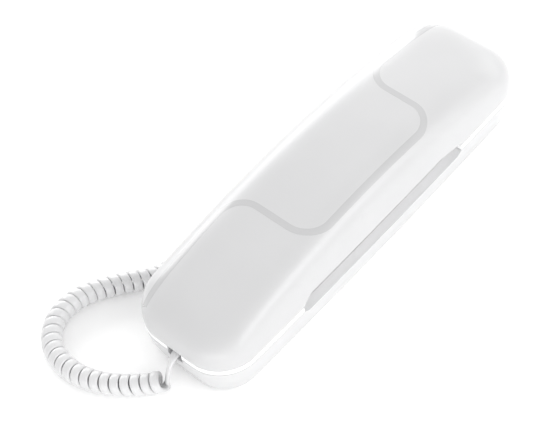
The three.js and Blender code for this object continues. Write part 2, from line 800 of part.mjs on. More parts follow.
const baseBoardZ = baseShellZ + 0.9;
const baseBoardNear = keyholes[0] + keyholeHeadRadius + keyholeSlotLength + 2;
const baseBoardFar = keyholes[1] - keyholeHeadRadius - 2;

function baseCircuitBoard() {
  const left = jackFront + lineJackDepth + 2 + boardSideGap;
  const right = halfWidth - baseWallInset(baseShellZ) - wall - boardSideGap - 2;
  return box([left, baseBoardNear, baseBoardZ], [right, baseBoardFar, baseBoardZ + baseBoardThickness]);
}

function baseRinger() {
  const low = baseBoardZ + baseBoardThickness + fit;
  const body = cylinder(5, 8, ringerRadius, low, low + ringerHeight, 24);
  return body.subtract(cylinder(5, 8, 1.5, low + ringerHeight - 1.2, low + ringerHeight + 1, 8));
}

function baseBallast() {
  const low = baseShellZ + 0.3;
  const high = Math.min(low + ballastThickness, wellZ - wall - fit);
  const half = halfWidth - baseScrewFromSide - bossRadius - ballastScrewGap;
  return box([-half, keyholes[1] + 22, low], [half, farEnd - footFromEnd + 6, high]);
}

function volumeSwitchBody() {
  const front = -halfWidth + 6.2;
  const middle = volumeY + volumeTravel / 2;
  return box([front, middle - 7, volumeZ - 2.4], [front + 5, middle + 7, volumeZ + 2.4]);
}

function volumeKnob() {
  const front = -halfWidth - sideSwell + 0.5;
  const grooves = [-1.2, 0, 1.2].map((place) =>
    box([front - 1, volumeY + place - 0.2, 0], [front + 0.3, volumeY + place + 0.2, baseHeight]),
  );
  const knob = box(
    [front, volumeY - volumeKnobLength / 2, volumeZ - volumeKnobHeight / 2],
    [-halfWidth + 6.2 - fit, volumeY + volumeKnobLength / 2, volumeZ + volumeKnobHeight / 2],
  );
  return cut(knob, grooves);
}

// ---- The curly cord: a bare tail at each plug and the coil between them -------------------------

// The coil's middle line: across the table, and along from the near end. The route was chosen round a body
// of routeHalfWidth, and its base end keeps its distance from the body's side.
const routeHalfWidth = 29.15;
const coilPoints = [
  [-2.2, -8.2], [-6.6, -12.4], [-11.5, -16.9], [-16.6, -20.7], [-22.2, -24], [-28.1, -26.4],
  [-34.2, -27.9], [-40, -28.3], [-45.6, -27.7], [-50.8, -26], [-55.3, -23.3], [-58.9, -19.6],
  [-61.6, -15.1], [-63, -10.1], [-63.2, -5], [-62.4, -0.1], [-60.8, 4.4], [-58.6, 8.6],
  [-55.9, 12.8], [-53, 17], [-49.8, 21], [-46.5, 24.8], [-43.4, 28.6], [-41, 32.6], [-39.6, 37],
];
const coilRoute = coilPoints.map(([across, along], i) => {
  const share = i / (coilPoints.length - 1);
  return [across - share * (halfWidth - routeHalfWidth), nearEnd + along, coilRadius];
});

// The tail that drops from the handset's plug to the coil: across, how far beyond the body's end, and height.
const handsetTailRoute = [
  [0, -3.2, cordZ], [0, -0.8, cordZ - 0.3], [0, 1.8, cordZ - 2.3], [-0.1, 3.6, cordZ - 5.6],
  [-0.3, 4.6, cordZ - 9.4], [-0.5, 5.4, cordZ - 12.6], [-0.8, 6.4, coilRadius + 0.6], [-1.3, 7.3, coilRadius],
].map(([across, beyond, z]) => [across, nearEnd - beyond, z]);

// The tail that turns from the coil's other end into the base's jack: out from the side, short of the jack.
const baseTailBends = [[9.9, 14.8], [9.1, 11], [7.4, 6], [5.2, 2], [2.6, 0.1], [0, 0]];
const baseTailRoute = baseTailBends.map(([out, short], i) => [
  -halfWidth - out,
  baseJackY - short,
  mix(coilRadius, basePlugZ, i / (baseTailBends.length - 1)),
]);

function tube(points, radius, sides, steps) {
  const route = new THREE.CatmullRomCurve3(points.map((point) => new THREE.Vector3(...point)));
  const section = new THREE.Shape();
  for (let k = 0; k < sides; k++) {
    const angle = ((k + 0.5) * 2 * Math.PI) / sides;
    const corner = [radius * Math.cos(angle), radius * Math.sin(angle)];
    if (k === 0) section.moveTo(...corner);
    else section.lineTo(...corner);
  }
  const options = { steps, extrudePath: route, bevelEnabled: false };
  return solid(new THREE.ExtrudeGeometry(section, options));
}

const cordCoil = () => tube(coilRoute, coilRadius, 10, 44);
const handsetTail = () => tube(handsetTailRoute, cordRadius, 8, 14);
const baseTail = () => tube(baseTailRoute, cordRadius, 8, 12);

// ---- Assembly ---------------------------------------------------------------------------------

const phone = new THREE.Group();
const handset = new THREE.Group();
const base = new THREE.Group();
phone.add(handset, base);

function add(group, name, made, material, place = [0, 0, 0], turn = 0) {
  const mesh = new THREE.Mesh(geometryOf(made), material());
  mesh.name = name;
  mesh.position.set(...place);
  mesh.rotation.z = turn;
  group.add(mesh);
}

add(handset, "handset_back_cover", handsetBackCover(), whitePlastic);
add(handset, "handset_front_cover", handsetFrontCover(), whitePlastic);
add(handset, "handset_accent_inlay", ribbon(inlayWidth / 2, inlayDepth, 0, 0), accentPlastic);
keys.forEach((each) => add(handset, each.name, key(each), keyPlastic));
add(handset, "keypad_mat", keypadMat(), silicone);
add(handset, "handset_circuit_board", handsetCircuitBoard(), boardGreen);
add(handset, "hook_plunger", hookPlunger(), keyPlastic);
add(handset, "hook_switch", hookSwitch(), blackPlastic);
add(handset, "earpiece_gasket", earpieceGasket(), foam);
add(handset, "earpiece_speaker", earpieceSpeaker(), blackPlastic);
add(handset, "microphone_boot", microphoneBoot(), rubber);
add(handset, "microphone_capsule", microphoneCapsule(), steel);
add(handset, "handset_ballast", handsetBallast(), steel);
handsetScrews.forEach(([x, y], i) => {
  add(handset, `handset_screw_${i + 1}`, screw(x, y, screwSeat(y) - wall), steel);
});
add(
  handset, "handset_jack", jack(plugSpace.width, plugSpace.height, plugLength + 0.5, handsetJackDepth),
  blackPlastic, [0, nearEnd + tubInset + tubTaper + wall + fit, cordZ],
);
add(handset, "handset_cord_plug", plug(), clearPlastic, [0, handsetPlugRear, cordZ]);

add(base, "base_top_cover", baseTopCover(), whitePlastic);
add(base, "base_bottom_cover", baseBottomCover(), whitePlastic);
const footNames = ["near_left", "near_right", "far_left", "far_right"];
feet.forEach((place, i) => add(base, `foot_${footNames[i]}`, foot(place), rubber));
baseScrews.forEach(([x, y], i) => add(base, `base_screw_${i + 1}`, screw(x, y, footStand), steel));
add(base, "base_circuit_board", baseCircuitBoard(), boardGreen);
add(base, "base_ringer", baseRinger(), blackPlastic);
add(base, "base_ballast", baseBallast(), steel);
add(
  base, "base_handset_jack", jack(plugSpace.width, plugSpace.height, plugLength + 0.5, handsetJackDepth),
  blackPlastic, [jackFront, baseJackY, basePlugZ], -Math.PI / 2,
);
add(
  base, "base_line_jack", jack(lineJackWidth, lineJackHeight, lineJackDepth, lineJackDepth + 2),
  blackPlastic, [jackFront, lineJackY, jackBottom + jackWall + lineJackHeight / 2], -Math.PI / 2,
);
add(base, "volume_switch_body", volumeSwitchBody(), blackPlastic);
add(base, "volume_switch_knob", volumeKnob(), whitePlastic);
add(
  base, "base_cord_plug", plug(), clearPlastic,
  [jackFront - basePlugProud, baseJackY, basePlugZ], -Math.PI / 2,
);
add(base, "cord_coil", cordCoil(), cordPlastic);
add(base, "cord_handset_tail", handsetTail(), cordPlastic);
add(base, "cord_base_tail", baseTail(), cordPlastic);

export default phone;
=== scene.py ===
"""The looks of a slim corded telephone: a domed handset face down on a long base, and a curly cord."""

import math
from functools import cache

import bmesh
import bpy
import numpy as np
from mathutils import Matrix, Vector


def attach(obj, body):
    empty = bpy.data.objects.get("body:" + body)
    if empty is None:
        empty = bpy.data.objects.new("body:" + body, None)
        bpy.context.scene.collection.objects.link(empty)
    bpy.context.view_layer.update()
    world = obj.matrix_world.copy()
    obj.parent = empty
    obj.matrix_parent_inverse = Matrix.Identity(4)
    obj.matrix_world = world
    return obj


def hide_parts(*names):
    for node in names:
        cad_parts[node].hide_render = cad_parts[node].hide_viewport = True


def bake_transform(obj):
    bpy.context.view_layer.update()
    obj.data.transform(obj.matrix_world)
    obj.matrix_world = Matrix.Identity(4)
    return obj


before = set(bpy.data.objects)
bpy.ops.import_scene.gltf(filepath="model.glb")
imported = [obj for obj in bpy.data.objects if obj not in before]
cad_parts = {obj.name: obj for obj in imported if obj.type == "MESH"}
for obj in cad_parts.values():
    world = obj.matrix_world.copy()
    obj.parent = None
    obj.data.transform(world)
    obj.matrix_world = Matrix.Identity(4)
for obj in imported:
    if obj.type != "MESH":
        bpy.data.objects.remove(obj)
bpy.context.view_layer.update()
MM = 0.001

# ---- Sizes in millimetres, as in the solid model ----------------------------------------------

HALF_LENGTH = 104.25
HALF_WIDTH = 29.15
SIDE_SWELL = 1.17
END_SWELL = 0.75
CORNER = 18
NEAR_END = -105

FOOT_STAND = 1.2
PLATE_TOP = 3.4
SHELL_Z = 3.7
RIM_Z = 19.5
BAND_Z = 19.9
BAND_TOP = 22.7
DOME_Z = 23.1
EDGE_FILLET = 0.15
SHELL_WALL = 2.1
END_RISE = 12.2
CROWN_RISE = 13.2
SHOULDER = 21
SHOULDER_POWER = 3.1

TUB_INSET = 5.4
TUB_TOP = 28.9
CAP_Z = 13.6
FACE_Z = 16.6
WELL_Z = 11.8
TABLE_Z = 14.2
SADDLE_NEAR = -63
SADDLE_FAR = 54.3
CAP_RAMP = 3.5

NOTCH_NEAR = -54.75
NOTCH_FAR = 58
BAND_GAP_FAR = 54.75
NOTCH_NEAR_RAMP = 5.5
NOTCH_FAR_RAMP = 18
NOTCH_RISE = 5
NOTCH_DROP = 1.7

INLAY_WIDTH = 3.1
INLAY_BEND = 12.5
INLAY_NEAR_CROSS = -38.3
INLAY_FAR_CROSS = 46.6
INLAY_LANES = (-20.65, 22.05, -18.15)
INLAY_ENDS = (-99.7, 99.7)

PLUG_HALF_WIDTH = 4.125
CORD_WIDTH = 4.0
CORD_THICKNESS = 2.1
COIL_PITCH = 4.35
COIL_AXIS_Z = 5.04
WIND_RADIUS = 3.86
FIRST_TURN_SHARE = 0.458
LOOSE_GROWTH = 0.6
LOOSE_LIFT = 1.2
LEAD_IN = 1.9
LEAD_RISE = 0.8
CORD_STEP = 1.1
RELAXED_POINTS = 6
RELAX_PASSES = 6
EASE_REACH = 8
BASE_PLUG_END = (-28.2, -52, 7.7)
TURN_LEAN = 0.36
COMBED_FROM = (0.44, -0.39, 0.81)
DROP_FACING = (-0.7, -0.7, 0)
DROP_POINTS = [
    (0, -101.6, 19.9), (0, -103.2, 19.9), (0, -104.8, 19.7), (-0.2, -106.4, 18.6), (-0.4, -107.8, 16.4),
    (-0.7, -109.3, 12.9), (-1, -110.4, 9.3), (-1.5, -111.3, 6),
]
COIL_POINTS = [
    (-2.2, -8.2), (-6.6, -12.4), (-11.5, -16.9), (-16.6, -20.7), (-22.2, -24), (-28.1, -26.4),
    (-34.2, -27.9), (-40, -28.3), (-45.6, -27.7), (-50.8, -26), (-55.3, -23.3), (-58.9, -19.6),
    (-61.6, -15.1), (-63, -10.1), (-63.2, -5), (-62.4, -0.1), (-60.8, 4.4), (-58.6, 8.6),
    (-55.9, 12.8), (-53, 17), (-49.8, 21), (-46.5, 24.8), (-43.4, 28.6), (-41, 32.6), (-39.6, 37),
]


# ---- Camera, floor and light ------------------------------------------------------------------

CAMERA_AZIMUTH = 48.41
CAMERA_ELEVATION = 53.59
CAMERA_ROLL = 9.12
CAMERA_DISTANCE = 0.78424
LENS = 115.55
FLOOR_HALF = 3


def make_camera():
    """A long lens, high over the near right corner and turned a little about its own axis."""
    azimuth, elevation, roll = (math.radians(a) for a in (CAMERA_AZIMUTH, CAMERA_ELEVATION, CAMERA_ROLL))
    level = math.cos(elevation)
    back = Vector((math.sin(azimuth) * level, -math.cos(azimuth) * level, math.sin(elevation)))
    right = Vector((math.cos(azimuth), math.sin(azimuth), 0))
    up = back.cross(right)
    turned_right = right * math.cos(roll) - up * math.sin(roll)
    turned_up = right * math.sin(roll) + up * math.cos(roll)
    data = bpy.data.cameras.new("camera")
    data.sensor_width = 36
    data.lens = LENS
    camera = add_object("camera", data)
    camera.matrix_world = Matrix((turned_right, turned_up, back)).transposed().to_4x4()
    camera.location = Vector((-0.01337, -0.02407, 0.02309)) + back * CAMERA_DISTANCE
    bpy.context.scene.camera = camera


def add_object(name, data):
    made = bpy.data.objects.new(name, data)
    bpy.context.collection.objects.link(made)
    return made


def area_light(name, place, size, power):
    """A soft box that looks at the middle of the phone."""
    data = bpy.data.lights.new(name, "AREA")
    data.shape = "RECTANGLE"
    data.size, data.size_y = size
    data.energy = power
    light = add_object(name, data)
    light.location = place
    light.rotation_euler = (Vector((0, 0, 0.02)) - light.location).to_track_quat("-Z", "Y").to_euler()


def light_studio():
    """A white room that is brighter low down than overhead, and a soft box on each side."""
    scene = bpy.context.scene
    scene.view_settings.view_transform = "Standard"
    world = bpy.data.worlds.new("studio")
    scene.world = world
    world.use_nodes = True
    tree = world.node_tree
    background = tree.nodes["Background"]
    coords = tree.nodes.new("ShaderNodeTexCoord")
    split = tree.nodes.new("ShaderNodeSeparateXYZ")
    tone = tree.nodes.new("ShaderNodeValToRGB")
    stops = tone.color_ramp.elements
    stops[0].position, stops[0].color = 0.0, (1, 1, 1, 1)
    stops[1].position, stops[1].color = 0.95, (0.6, 0.6, 0.6, 1)
    stops.new(0.4).color = (0.8, 0.8, 0.8, 1)
    tree.links.new(coords.outputs["Generated"], split.inputs[0])
    tree.links.new(split.outputs["Z"], tone.inputs[0])
    tree.links.new(tone.outputs[0], background.inputs["Color"])
    background.inputs["Strength"].default_value = 1.12
    area_light("left", (-0.7, 0.3, 0.3), (0.9, 0.4), 4.8)
    area_light("right", (0.6, 0.05, 0.48), (0.9, 0.3), 2.8)
    area_light("near", (0.3, -0.75, 0.2), (0.7, 0.3), 1.4)
    area_light("far", (0.1, 0.8, 0.35), (0.7, 0.3), 1.2)


def lay_floor():
    mesh = bpy.data.meshes.new("floor")
    corners = [(x * FLOOR_HALF, y * FLOOR_HALF, 0) for x, y in ((-1, -1), (1, -1), (1, 1), (-1, 1))]
    mesh.from_pydata(corners, [], [(0, 1, 2, 3)])
    floor = add_object("floor", mesh)
    mesh.materials.append(paper_white())


# ---- Material helpers -------------------------------------------------------------------------

def add_node(tree, kind, inputs, **settings):
    """A new node's outputs. Its inputs are links or values, by name or number."""
    made = tree.nodes.new(kind)
    for key, value in settings.items():
        setattr(made, key, value)
    for key, value in inputs.items():
        if isinstance(value, bpy.types.NodeSocket):
            tree.links.new(value, made.inputs[key])
        else:
            made.inputs[key].default_value = value
    return made.outputs


class Finish:
    """A material under construction: a principled shader with noise-driven colour, roughness and bump."""

    def __init__(self, name, colour, roughness, metallic=0.0):
        self.material = bpy.data.materials.new(name)
        self.material.use_nodes = True
        self.material.diffuse_color = (*colour, 1)
        self.tree = self.material.node_tree
        self.inputs = self.tree.nodes["Principled BSDF"].inputs
        self.inputs["Base Color"].default_value = (*colour, 1)
        self.inputs["Roughness"].default_value = roughness
        self.inputs["Metallic"].default_value = metallic
        self.coords = self.add("ShaderNodeTexCoord")

    def add(self, kind, inputs={}, **settings):
        return add_node(self.tree, kind, inputs, **settings)

    def link(self, source, name):
        self.tree.links.new(source, self.inputs[name])

    def noise(self, scale, detail=3.0, stretch=(1, 1, 1)):
        place = self.add("ShaderNodeMapping", {"Vector": self.coords["Object"], "Scale": stretch})[0]
        return self.add("ShaderNodeTexNoise", {"Vector": place, "Scale": scale, "Detail": detail})[0]

    def tint(self, source, low, high):
        """Colours a surface between two tones by a pattern."""
        tone = self.add("ShaderNodeValToRGB", {0: source})[0]
        for stop, place, colour in zip(tone.node.color_ramp.elements, (0.35, 0.65), (low, high)):
            stop.position = place
            stop.color = (*colour, 1)
        self.link(tone, "Base Color")

    def bump(self, source, depth, strength=1.0):
        inputs = {"Distance": depth, "Strength": strength, "Height": source}
        if self.inputs["Normal"].links:
            inputs["Normal"] = self.inputs["Normal"].links[0].from_socket
        self.link(self.add("ShaderNodeBump", inputs)[0], "Normal")

    def rough(self, source, low, high):
        """Varies the polish between two values by a pattern."""
        inputs = {"Value": source, "From Min": 0.3, "From Max": 0.7, "To Min": low, "To Max": high}
        self.link(self.add("ShaderNodeMapRange", inputs)[0], "Roughness")


def plastic(name, tone, roughness, grain=900, depth=0.00002, coat=0.0, swing=0.012):
    """Moulded plastic: a faint cloud in its colour, a fine grain and an uneven polish."""
    finish = Finish(name, tone, roughness)
    low = tuple(max(c - swing, 0) for c in tone)
    finish.tint(finish.noise(28), low, tone)
    finish.rough(finish.noise(60), roughness * 0.88, roughness * 1.12)
    finish.bump(finish.noise(grain, 2.0), depth)
    finish.inputs["Coat Weight"].default_value = coat
    finish.inputs["Coat Roughness"].default_value = 0.26
    return finish


@cache
def white_shell():
    return plastic("white shell", (0.57, 0.57, 0.575), 0.34, coat=0.2).material


@cache
def base_shell():
    return plastic("base shell", (0.62, 0.62, 0.625), 0.38, coat=0.15).material


# Painted light: the same white plastic as the shells, its tone raised far above theirs so the band and the
# shaded notch recess read as brightly lit.
@cache
def band_painted_bright():
    return plastic("band painted bright", (0.92, 0.92, 0.925), 0.36, coat=0.15).material


@cache
def inlay_grey():
    return plastic("inlay grey", (0.5, 0.5, 0.505), 0.2, depth=0.000004, coat=0.4).material


@cache
def key_white():
    return plastic("key white", (0.78, 0.78, 0.79), 0.42, grain=1500).material


@cache
def legend_ink():
    return plastic("legend ink", (0.12, 0.12, 0.13), 0.55, grain=3000, depth=0.000005).material


@cache
def black_plastic():
    return plastic("black plastic", (0.022, 0.022, 0.024), 0.45, grain=1400, swing=0.008).material


@cache
def soft_silicone():
    finish = plastic("soft silicone", (0.62, 0.65, 0.66), 0.65)
    finish.inputs["Subsurface Weight"].default_value = 0.1
    return finish.material


@cache
def foot_rubber():
    finish = plastic("foot rubber", (0.045, 0.045, 0.047), 0.85, grain=1100, depth=0.00006, swing=0.015)
    return finish.material


@cache
def ear_foam():
    return plastic("ear foam", (0.03, 0.03, 0.032), 0.95, grain=700, depth=0.0004, swing=0.02).material


@cache
def plated_steel():
    finish = Finish("plated steel", (0.62, 0.62, 0.63), 0.3, 1.0)
    finish.tint(finish.noise(80), (0.52, 0.52, 0.53), (0.68, 0.68, 0.69))
    finish.rough(finish.noise(400, 2.0, (1, 12, 1)), 0.22, 0.42)
    finish.bump(finish.noise(500, 2.0, (1, 14, 1)), 0.00002)
    return finish.material


@cache
def clear_plug():
    finish = plastic("clear plug", (0.8, 0.83, 0.85), 0.12, depth=0.000006, coat=0.3)
    finish.inputs["Transmission Weight"].default_value = 0.45
    finish.inputs["IOR"].default_value = 1.53
    return finish.material


@cache
def solder_mask():
    """Green board with a lighter pattern of tracks under the lacquer."""
    finish = Finish("solder mask", (0.02, 0.16, 0.06), 0.3)
    tracks = finish.add("ShaderNodeTexBrick", {
        "Vector": finish.coords["Object"], "Scale": 210, "Mortar Size": 0.06,
        "Color1": (0.015, 0.14, 0.05, 1), "Color2": (0.02, 0.17, 0.065, 1), "Mortar": (0.06, 0.3, 0.12, 1),
    })
    finish.link(tracks["Color"], "Base Color")
    finish.bump(tracks["Fac"], 0.00004)
    finish.rough(finish.noise(200), 0.24, 0.38)
    return finish.material


@cache
def cord_jacket():
    """White cord: four faint conductor ridges along it and a soft shine."""
    finish = plastic("cord jacket", (0.66, 0.66, 0.665), 0.3, grain=1300, depth=0.000012, coat=0.2)
    around = finish.add("ShaderNodeSeparateXYZ", {0: finish.coords["UV"]})["X"]
    turn = finish.add("ShaderNodeMath", {0: around, 1: 2 * math.pi * 8}, operation="MULTIPLY")[0]
    finish.bump(finish.add("ShaderNodeMath", {0: turn}, operation="SINE")[0], 0.00003, 0.6)
    return finish.material


@cache
def paper_white():
    finish = Finish("paper white", (0.95, 0.95, 0.95), 0.9)
    finish.tint(finish.noise(3), (0.945, 0.945, 0.945), (0.955, 0.955, 0.955))
    finish.bump(finish.noise(1500), 0.00001)
    finish.inputs["Emission Color"].default_value = (1, 1, 1, 1)
    finish.inputs["Emission Strength"].default_value = 0.1
    return finish.material


# ---- Mesh helpers -----------------------------------------------------------------------------

def new_piece(name, points, faces, material, smooth=40):
    """A mesh piece from points in millimetres, shaded smooth below that angle."""
    mesh = bpy.data.meshes.new(name)
    mesh.from_pydata([tuple(np.multiply(p, MM)) for p in points], [], faces)
    piece = add_object(name, mesh)
    mesh.materials.append(material)
    finish_mesh(piece, smooth)
    return piece


def finish_mesh(piece, smooth=40):
    """Merges doubles, turns faces outwards and shades the mesh."""
    mesh = piece.data
    work = bmesh.new()
    work.from_mesh(mesh)
    bmesh.ops.remove_doubles(work, verts=work.verts, dist=1e-7)
    bmesh.ops.recalc_face_normals(work, faces=work.faces)
    work.to_mesh(mesh)
    work.free()
    shade(piece, smooth)


def shade(piece, smooth=50):
    """Shades a piece whose faces already point outwards."""
    piece.data.polygons.foreach_set("use_smooth", [True] * len(piece.data.polygons))
    piece.data.set_sharp_from_angle(angle=math.radians(smooth))


def plain_copy(piece):
    """Turns the evaluated modifiers of a piece into its own plain mesh."""
    depsgraph = bpy.context.evaluated_depsgraph_get()
    made = bpy.data.meshes.new_from_object(piece.evaluated_get(depsgraph), depsgraph=depsgraph)
    piece.modifiers.clear()
    piece.data = made
    return piece


def carve(piece, cutters, operation="DIFFERENCE", smooth=32):
    """Cuts a piece by others, or joins them to it, and removes them."""
    for cutter in cutters:
        change = piece.modifiers.new("carve", "BOOLEAN")
        change.solver = "EXACT"
        change.operation = operation
        change.object = cutter
        plain_copy(piece)
        bpy.data.objects.remove(cutter)
    finish_mesh(piece, smooth)
    return piece


def coat(piece, material):
    """Gives a whole piece one finish."""
    piece.data.materials.clear()
    piece.data.materials.append(material)


# ---- The plan outline -------------------------------------------------------------------------

END_STEPS, CORNER_STEPS, SIDE_STEPS = 14, 16, 130


def plan_places():
    """Which stretch of the half outline each of its points is on, and how far along it."""
    stretches = [(0, k / END_STEPS) for k in range(END_STEPS)]
    stretches += [(1, k / CORNER_STEPS) for k in range(CORNER_STEPS)]
    stretches += [(2, k / SIDE_STEPS) for k in range(SIDE_STEPS)]
    stretches += [(3, k / CORNER_STEPS) for k in range(CORNER_STEPS)]
    stretches += [(4, k / END_STEPS) for k in range(END_STEPS + 1)]
    kind = np.array([s[0] for s in stretches])
    share = np.array([s[1] for s in stretches])
    return kind, share


PLAN_KIND, PLAN_SHARE = plan_places()
PLAN_COUNT = 2 * len(PLAN_KIND) - 2


def plan(width, length, radius):
    """The body's rounded outline, points along the last axis, for numbers or columns of numbers."""
    width, length, radius = (np.asarray(v, float) for v in (width, length, radius))
    f = PLAN_SHARE
    near, far = (f - 1) * math.pi / 2, f * math.pi / 2
    x = np.choose(PLAN_KIND, [
        (width - radius) * f, width - radius + radius * np.cos(near), width + 0 * f,
        width - radius + radius * np.cos(far), (width - radius) * (1 - f),
    ])
    y = np.choose(PLAN_KIND, [
        -length + 0 * f, radius - length + radius * np.sin(near), (length - radius) * (2 * f - 1),
        length - radius + radius * np.sin(far), length + 0 * f,
    ])
    ramp = np.clip((np.abs(y) - length + radius) / radius, 0, 1)
    swollen_x = x * (1 + SIDE_SWELL * (1 - (y / length) ** 2) / width)
    swollen_y = y + np.sign(y) * END_SWELL * (1 - (x / width) ** 2) * ramp
    other_x, other_y = -swollen_x[..., -2:0:-1], swollen_y[..., -2:0:-1]
    return np.concatenate([swollen_x, other_x], -1), np.concatenate([swollen_y, other_y], -1)


def ring(inset, z):
    """Points of the outline moved inwards. The inset and height may differ from point to point."""
    x, y = plan(HALF_WIDTH - inset, HALF_LENGTH - inset, CORNER - inset)
    return np.column_stack([x, y, np.broadcast_to(z, x.shape)])


def bridge(first, second, count):
    """Faces between two rings whose points start at those numbers."""
    return [(first + i, first + (i + 1) % count, second + (i + 1) % count, second + i) for i in range(count)]


def lid(start, count, turned):
    """Faces straight across a mirrored outline."""
    faces = [(start, start + 1, start + count - 1)]
    for i in range(1, count // 2 - 1):
        faces.append((start + i, start + i + 1, start + count - i - 1, start + count - i))
    middle = start + count // 2
    faces.append((middle - 1, middle, middle + 1))
    return [face[::-1] for face in faces] if turned else faces


def loft(name, rings, material, smooth=32, mirrored=False):
    """A closed piece from a stack of rings, lowest first. Mirrored outlines are closed by faces across."""
    count = len(rings[0])
    last = (len(rings) - 1) * count
    if mirrored:
        faces = lid(0, count, True) + lid(last, count, False)
    else:
        faces = [tuple(range(count))[::-1], tuple(range(last, last + count))]
    for level in range(len(rings) - 1):
        faces += bridge(level * count, (level + 1) * count, count)
    return new_piece(name, np.concatenate(rings), faces, material, smooth)


def stack(name, levels, material=None):
    return loft(name, [ring(inset, z) for inset, z in levels], material, mirrored=True)


def prism(name, outline_yz, half=80):
    """A prism right across the body, from its outline as (y, z) points."""
    count = len(outline_yz)
    points = [(side, y, z) for side in (-half, half) for y, z in outline_yz]
    faces = bridge(0, count, count) + [tuple(range(count))[::-1], tuple(range(count, 2 * count))]
    return new_piece(name, points, faces, None)


def block(name, low, high, material=None):
    points = [(x, y, z) for z in (low[2], high[2]) for y in (low[1], high[1]) for x in (low[0], high[0])]
    faces = [(0, 2, 3, 1), (4, 5, 7, 6), (0, 1, 5, 4), (2, 6, 7, 3), (0, 4, 6, 2), (1, 3, 7, 5)]
    return new_piece(name, points, faces, material)


def rounded_stack(name, x, y, levels, radius, material=None, sides=6, smooth=32):
    """A closed piece of rounded rectangles, each level (half width, half length, height), lowest first."""
    rings = []
    for half_x, half_y, z in levels:
        r = min(radius, half_x * 0.98, half_y * 0.98)
        points = []
        for quarter, (sx, sy) in enumerate([(1, 1), (-1, 1), (-1, -1), (1, -1)]):
            for k in range(sides + 1):
                angle = (quarter + k / sides) * math.pi / 2
                corner_x, corner_y = x + sx * (half_x - r), y + sy * (half_y - r)
                points.append((corner_x + r * math.cos(angle), corner_y + r * math.sin(angle), z))
        rings.append(points)
    return loft(name, rings, material, smooth)


def turned(name, x, y, profile, material=None, sides=32, smooth=32):
    """A closed piece of circles round an upright axis, from (radius, height) pairs, lowest first."""
    angles = [2 * math.pi * k / sides for k in range(sides)]
    rings = [[(x + r * math.cos(a), y + r * math.sin(a), z) for a in angles] for r, z in profile]
    return loft(name, rings, material, smooth)


def disc(name, x, y, radius, low, high):
    return turned(name, x, y, [(radius, low), (radius, high)])


# ---- Geometry trees ---------------------------------------------------------------------------

class Tree:
    """A geometry tree under construction, with named inputs, which ends in real geometry of one finish."""

    KINDS = {"Geometry": "Geometry", "Surface": "Object", "Sample": "Object", "Finish": "Material"}

    def __init__(self, name, *inputs):
        self.tree = bpy.data.node_groups.new(name, "GeometryNodeTree")
        for item in ("Geometry", *inputs, "Finish"):
            kind = "NodeSocket" + self.KINDS.get(item, "Float")
            self.tree.interface.new_socket(item, in_out="INPUT", socket_type=kind)
        self.tree.interface.new_socket("Geometry", in_out="OUTPUT", socket_type="NodeSocketGeometry")
        self.given = self.tree.nodes.new("NodeGroupInput").outputs

    def add(self, kind, inputs, **settings):
        return add_node(self.tree, kind, inputs, **settings)

    def math(self, operation, *values):
        return self.add("ShaderNodeMath", dict(enumerate(values)), operation=operation)[0]

    def vector(self, **parts):
        return self.add("ShaderNodeCombineXYZ", parts)[0]

    def place(self):
        """The X, Y and Z of each point."""
        return self.add("ShaderNodeSeparateXYZ", {0: self.add("GeometryNodeInputPosition", {})[0]})

    def finished(self, geometry):
        real = self.add("GeometryNodeRealizeInstances", {"Geometry": geometry})[0]
        inputs = {"Geometry": real, "Material": self.given["Finish"]}
        painted = self.add("GeometryNodeSetMaterial", inputs)[0]
        self.tree.links.new(painted, self.tree.nodes.new("NodeGroupOutput").inputs[0])
        return self.tree


def grown(name, mesh, tree, values):
    """The plain mesh that a tree makes of a mesh. The tree's inputs are set by their identifiers."""
    piece = add_object(name, mesh)
    modifier = piece.modifiers.new(tree.name, "NODES")
    modifier.node_group = tree
    for item in tree.interface.items_tree:
        if item.item_type == "SOCKET" and item.in_out == "INPUT" and item.name in values:
            modifier[item.identifier] = values[item.name]
    return plain_copy(piece)


# ---- The curly cord ---------------------------------------------------------------------------

def smooth_line(points, spacing, after=None):
    """Points that far apart along a smooth curve through the given ones, which heads for the one after."""
    given = np.array(points, float)
    if after is None:
        after = 2 * given[-1] - given[-2]
    padded = np.vstack([2 * given[0] - given[1], given, after])
    dense = []
    for p0, p1, p2, p3 in zip(padded, padded[1:], padded[2:], padded[3:]):
        for t in np.linspace(0, 1, 20, endpoint=False):
            bend = (2 * p0 - 5 * p1 + 4 * p2 - p3) * t * t + (-p0 + 3 * p1 - 3 * p2 + p3) * t ** 3
            dense.append(0.5 * (2 * p1 + (p2 - p0) * t + bend))
    dense = np.array(dense + [given[-1]])
    run = np.concatenate([[0], np.cumsum(np.linalg.norm(np.diff(dense, axis=0), axis=1))])
    places = np.linspace(0, run[-1], max(2, round(run[-1] / spacing) + 1))
    return np.column_stack([np.interp(places, run, dense[:, axis]) for axis in range(dense.shape[1])])


def eased(start, start_way, end, end_way):
    """A smooth stretch from one point and direction to another."""
    p0, p3 = np.array(start, float), np.array(end, float)
    p1 = p0 + np.array(start_way, float) * EASE_REACH
    p2 = p3 - np.array(end_way, float) * EASE_REACH
    t = np.linspace(0, 1, 60)[:, None]
    dense = (1 - t) ** 3 * p0 + 3 * (1 - t) ** 2 * t * p1 + 3 * (1 - t) * t ** 2 * p2 + t ** 3 * p3
    return smooth_line(dense[::4], CORD_STEP)


